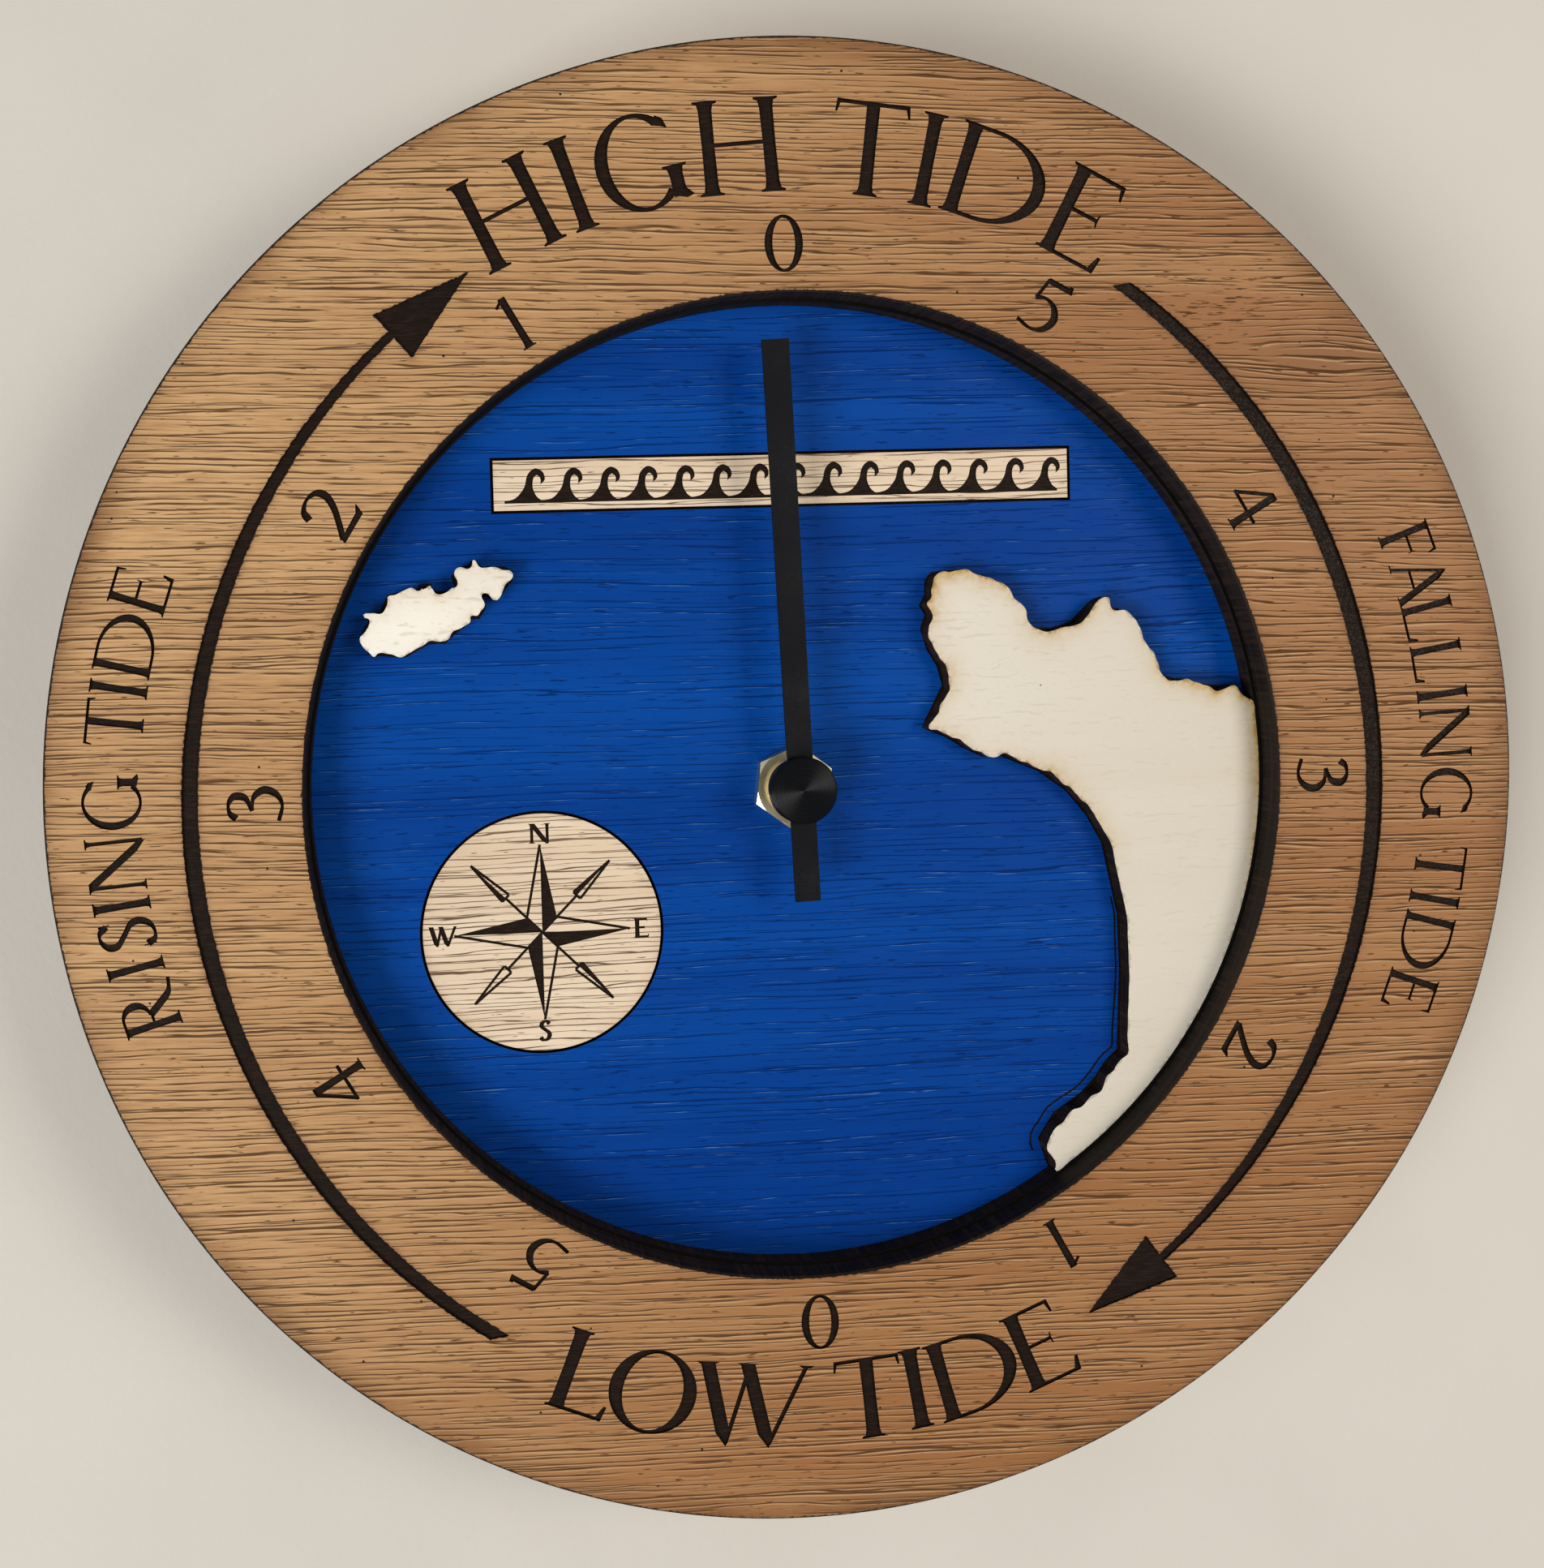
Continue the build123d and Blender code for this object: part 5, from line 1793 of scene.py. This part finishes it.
    def land(self, node: str, name: str) -> None:
        """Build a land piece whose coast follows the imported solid, with a finer line."""
        coast = self.coast(node)
        board = CutBoard(name, self.middle, [coast], self.land_front, 0.0, pitch=self.land_pitch,
                         reach=self.land_reach, burnt=[coast], guards=self.land_guards)
        self.engrave(board, "land_wash", "land_white", node)

    def inlay(self, name: str, outline: Loop, marks: list[Loop], node: str) -> None:
        """Build an engraved inlay.

        Args:
            name: Name of the piece.
            outline: Its outline.
            marks: Outlines of what is engraved on it.
            node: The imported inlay.
        """
        sunk = [(loop, self.mark_depth) for loop in marks]
        board = CutBoard(name, self.middle, [outline], 0.0, self.inlay_t, sunk, burnt=[outline],
                         guards=self.inlay_guards)
        self.engrave(board, "pale_veneer", "pale_wood", node)

    def scroll_plate(self) -> None:
        """Build the long inlay with a plain running-wave border."""
        low, width = self.plate[2] - self.wave_low, self.wave_pitch * self.wave_h
        crest = np.vstack((smooth(self.wave_over, 4), smooth(self.wave_under, 4)[1:])) * self.wave_h
        first = -width * self.waves / 2
        marks = [crest + np.array((first + width * i, low)) for i in range(self.waves)]
        bottom, top = (low + by for by in self.wave_foot)
        base = np.array([(first, bottom), (-first, bottom), (-first, top), (first, top)])
        marks.append(dense(base, self.inlay_step))
        self.inlay("scroll_plate", self.plate_outline(self.kerf), marks, "name_plate")

    def compass_plate(self) -> None:
        """Build the round inlay with a traditional eight-point rose."""
        x, z, r = self.compass
        marks = [loop + np.array((x, z)) for loop in CompassRose().outlines()]
        self.inlay("compass_plate_face", circle(r - self.kerf, 160, (x, z)), marks, "compass_plate")


@dataclass
class Clamp(Assembly):
    """Brass bush and nut, rubber washer and steel hanger."""

    def build(self) -> None:
        """Dress the clamp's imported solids."""
        self.paint("nut_brass", "hex_nut")
        self.paint("pale_brass", "threaded_bush")
        self.paint("black_rubber", "rubber_washer")
        self.paint("zinc_steel", "hanger_bracket")


@dataclass
class Pointer(Assembly):
    """The hand, its collet, its turned cap and its arbor."""

    def build(self) -> None:
        """Dress the hand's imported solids."""
        self.paint("satin_black", "tide_hand", "hand_collet")
        self.paint("turned_black", "hand_cap")
        self.paint("pale_brass", "tide_arbor")


@dataclass
class Movement(Assembly):
    """The quartz movement with its housing, train, motor and cell. Its sizes are in metres."""

    wire_r: float = 0.0002
    wire_sides: int = 7
    end_gap: float = 1.1
    coil_steps: int = 22
    layers: Pair = (0.0, 1.8)
    head_t: float = 0.0011
    head_taper: float = 0.82
    head_sides: int = 40
    shank_r: float = 0.00098
    shank_sides: int = 24
    slot: Pair = (0.0004, 0.0005)
    slot_over: float = 2.5
    screw_seed: int = 4

    def build(self) -> None:
        """Dress the movement, wind its coil and set its screws."""
        self.paint("black_housing", "movement_case", "movement_cover", "set_knob", "driver_chip")
        self.paint("white_gear", "train_plate", "tide_wheel", "minute_wheel", "minute_arbor", "set_arbor",
                   "centre_wheel", "third_wheel", "second_wheel", "fifth_wheel", "rotor_pinion",
                   "coil_bobbin")
        self.paint("stamped_steel", "stator_plate", "coil_core", "quartz_crystal", "positive_contact",
                   "negative_contact")
        self.paint("green_board", "circuit_board")
        self.paint("sintered_magnet", "rotor_magnet")
        self.paint("cell_sleeve", "battery_cell")
        self.paint("zinc_steel", "cover_screws")
        self.paint("enamelled_copper", "coil_winding")
        self.coil()
        self.screws()

    def coil(self) -> None:
        """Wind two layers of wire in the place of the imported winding."""
        low, high = (np.array(corner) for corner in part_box("coil_winding"))
        length, outer = float(high[0] - low[0]), float(high[2] - low[2]) / 2
        shape = NodeShape("wound_coil", {
            "Coil Radius": outer - self.wire_r, "Wire Radius": self.wire_r,
            "Length": length - 2 * self.end_gap * self.wire_r,
            "Turns": (length - 2 * self.wire_r) / (2 * self.wire_r), "Wire Sides": self.wire_sides})
        g, given = shape.graph, shape.given
        ring = {"Resolution": given["Wire Sides"], "Radius": given["Wire Radius"]}
        wire = g.out("GeometryNodeCurvePrimitiveCircle", ring)
        layers = []
        for step in self.layers:
            radius = given["Wire Radius"] * -step + given["Coil Radius"]
            spiral = g.out("GeometryNodeCurveSpiral", {
                "Resolution": self.coil_steps, "Rotations": given["Turns"], "Start Radius": radius,
                "End Radius": radius, "Height": given["Length"], "Reverse": step > 0.0})
            tube = {"Curve": spiral, "Profile Curve": wire, "Fill Caps": True}
            layers.append(g.out("GeometryNodeCurveToMesh", tube))
        shape.repeat(shape.moved(shape.joined(*layers), turn=(0.0, math.pi / 2, 0.0)))
        middle = (low + high) / 2
        start = np.array([(low[0] + self.end_gap * self.wire_r, middle[1], middle[2])])
        piece = shape.grow("wound_coil", start, self.palette["enamelled_copper"])
        self.settle(piece, Body.CLOCK, "copper", "coil_winding")

    def screw_places(self) -> tuple[np.ndarray, float, float]:
        """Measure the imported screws.

        Returns:
            The middle of each head's top, the heads' radius and the screws' length, in metres.
        """
        points = np.array([v.co[:] for v in self.nodes["cover_screws"].data.vertices])
        rear = points[points[:, 1] > points[:, 1].max() - 1e-5]
        middle = (points.min(axis=0) + points.max(axis=0)) / 2
        places, radius = [], 0.0
        for right, upper in ((True, True), (True, False), (False, True), (False, False)):
            head = rear[((rear[:, 0] > middle[0]) == right) & ((rear[:, 2] > middle[2]) == upper)]
            radius = max(radius, float(np.ptp(head[:, 0])) / 2)
            x, _, z = (head.min(axis=0) + head.max(axis=0)) / 2
            places.append((x, points[:, 1].max(), z))
        return np.array(places), radius, float(np.ptp(points[:, 1]))

    def screws(self) -> None:
        """Set the cover's slotted screws, each turned to its own angle."""
        places, head_r, length = self.screw_places()
        shape = NodeShape("slotted_screws", {
            "Head Radius": head_r, "Head Height": self.head_t, "Shank Radius": self.shank_r,
            "Shank Length": length - self.head_t, "Slot Width": self.slot[0], "Slot Depth": self.slot[1],
            "Seed": self.screw_seed})
        g, given = shape.graph, shape.given
        head = g.out("GeometryNodeMeshCone", {
            "Vertices": self.head_sides, "Side Segments": 1,
            "Radius Top": given["Head Radius"] * self.head_taper,
            "Radius Bottom": given["Head Radius"], "Depth": given["Head Height"]})
        below = given["Head Height"] * -1.0
        tool = g.join(given["Head Radius"] * self.slot_over, given["Slot Width"], given["Slot Depth"] * 2.0)
        cut = g.out("GeometryNodeMeshBoolean", {
            0: shape.moved(head, g.join(0.0, 0.0, below)), 1: g.out("GeometryNodeMeshCube", {"Size": tool})},
            operation="DIFFERENCE")
        rod = g.out("GeometryNodeMeshCylinder", {
            "Vertices": self.shank_sides, "Radius": given["Shank Radius"], "Depth": given["Shank Length"]})
        drop = given["Shank Length"] * -0.5 + below
        screw = shape.joined(cut, shape.moved(rod, g.join(0.0, 0.0, drop)))
        chance = g.out("FunctionNodeRandomValue", {"Seed": given["Seed"]}, 1, data_type="FLOAT")
        spin = chance * (2.0 * math.pi)
        shape.repeat(shape.moved(screw, turn=(-math.pi / 2, 0.0, 0.0)), g.join(0.0, spin, 0.0))
        piece = shape.grow("slotted_screws", places, self.palette["zinc_steel"])
        self.settle(piece, Body.CLOCK, "steel", "cover_screws")


# Stage


@dataclass(frozen=True)
class Lamp:
    """A square lamp that faces the clock."""

    name: str
    place: Triple
    watts: float
    size: float
    colour: Colour
    aim: Triple = (0.0, -0.03, -0.038)

    def build(self) -> None:
        """Make the lamp."""
        data = bpy.data.lights.new(self.name, "AREA")
        data.energy, data.size, data.color = self.watts, self.size, self.colour
        lamp = bpy.data.objects.new(self.name, data)
        lamp.location = self.place
        lamp.rotation_euler = (Vector(self.aim) - Vector(self.place)).to_track_quat("-Z", "Y").to_euler()
        bpy.context.scene.collection.objects.link(lamp)


@dataclass
class Studio:
    """Wall behind the clock, floor below it, soft light from the lower left, and the photograph's camera."""

    palette: Palette
    wall_y: float = 0.0016
    wall_half: float = 2.5
    floor_z: float = -2.2
    room: Colour = (0.98, 0.96, 0.93)
    room_level: float = 0.36
    seen_level: float = 0.49
    lamps: tuple[Lamp, ...] = (
        Lamp("window", (-1.5, -1.5, -0.85), 37.0, 1.0, (1.0, 0.98, 0.95)),
        Lamp("room_lamp", (0.8, -1.0, 0.12), 6.5, 0.5, (1.0, 0.90, 0.76)),
        Lamp("rear_fill", (0.6, 1.3, 0.7), 14.0, 0.9, (1.0, 0.98, 0.95)),
    )
    eye: Triple = (-0.06939, -0.33024, -0.00538)
    right: Triple = (0.996865, -0.073132, -0.030213)
    up: Triple = (0.032852, 0.035154, 0.998842)
    back: Triple = (-0.071986, -0.996703, 0.037446)
    lens: float = 34.66
    sensor: float = 36.0
    shift: Pair = (0.1332, -0.0588)
    clip: Pair = (0.01, 20.0)

    def build(self) -> None:
        """Set the stage."""
        self.surfaces()
        self.light()
        self.camera()

    def surfaces(self) -> None:
        """Make the wall and the floor."""
        h, y, z = self.wall_half, self.wall_y, self.floor_z
        paint, face = [self.palette["wall_paint"]], [(0, 1, 2, 3)]
        wall = mesh_object("wall", np.array([(-h, y, z), (h, y, z), (h, y, h), (-h, y, h)]), face, paint)
        floor = mesh_object("floor", np.array([(-h, y, z), (-h, -h, z), (h, -h, z), (h, y, z)]), face, paint)

    def light(self) -> None:
        """Make the even light of the room and its lamps."""
        world = bpy.data.worlds.new("room")
        world.use_nodes = True
        world.node_tree.nodes.clear()
        g = Graph(world.node_tree)
        level = seen_by(g, "Camera", "Transmission") * self.seen_level + self.room_level
        room = g.out("ShaderNodeBackground", {"Color": self.room, "Strength": level})
        g.node("ShaderNodeOutputWorld", {"Surface": room})
        bpy.context.scene.world = world
        for lamp in self.lamps:
            lamp.build()

    def camera(self) -> None:
        """Make the camera at the photograph's viewpoint."""
        data = bpy.data.cameras.new("camera")
        data.lens, data.sensor_width = self.lens, self.sensor
        data.shift_x, data.shift_y = self.shift
        data.clip_start, data.clip_end = self.clip
        camera = bpy.data.objects.new("camera", data)
        axes = Matrix((self.right, self.up, self.back)).transposed().to_4x4()
        camera.matrix_world = Matrix.Translation(self.eye) @ axes
        bpy.context.scene.collection.objects.link(camera)
        bpy.context.scene.camera = camera


def main() -> None:
    """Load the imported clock, dress it and set the stage."""
    logging.basicConfig(level=logging.INFO, format="%(name)s: %(message)s")
    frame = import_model()
    bpy.context.scene.view_settings.view_transform = "Standard"
    palette, middle = Palette(), dial_middle()
    for kind in (Surround, Dial, Clamp, Pointer, Movement):
        kind(middle, palette, frame["nodes"]).build()
    Studio(palette).build()


if __name__ == "__main__":
    main()
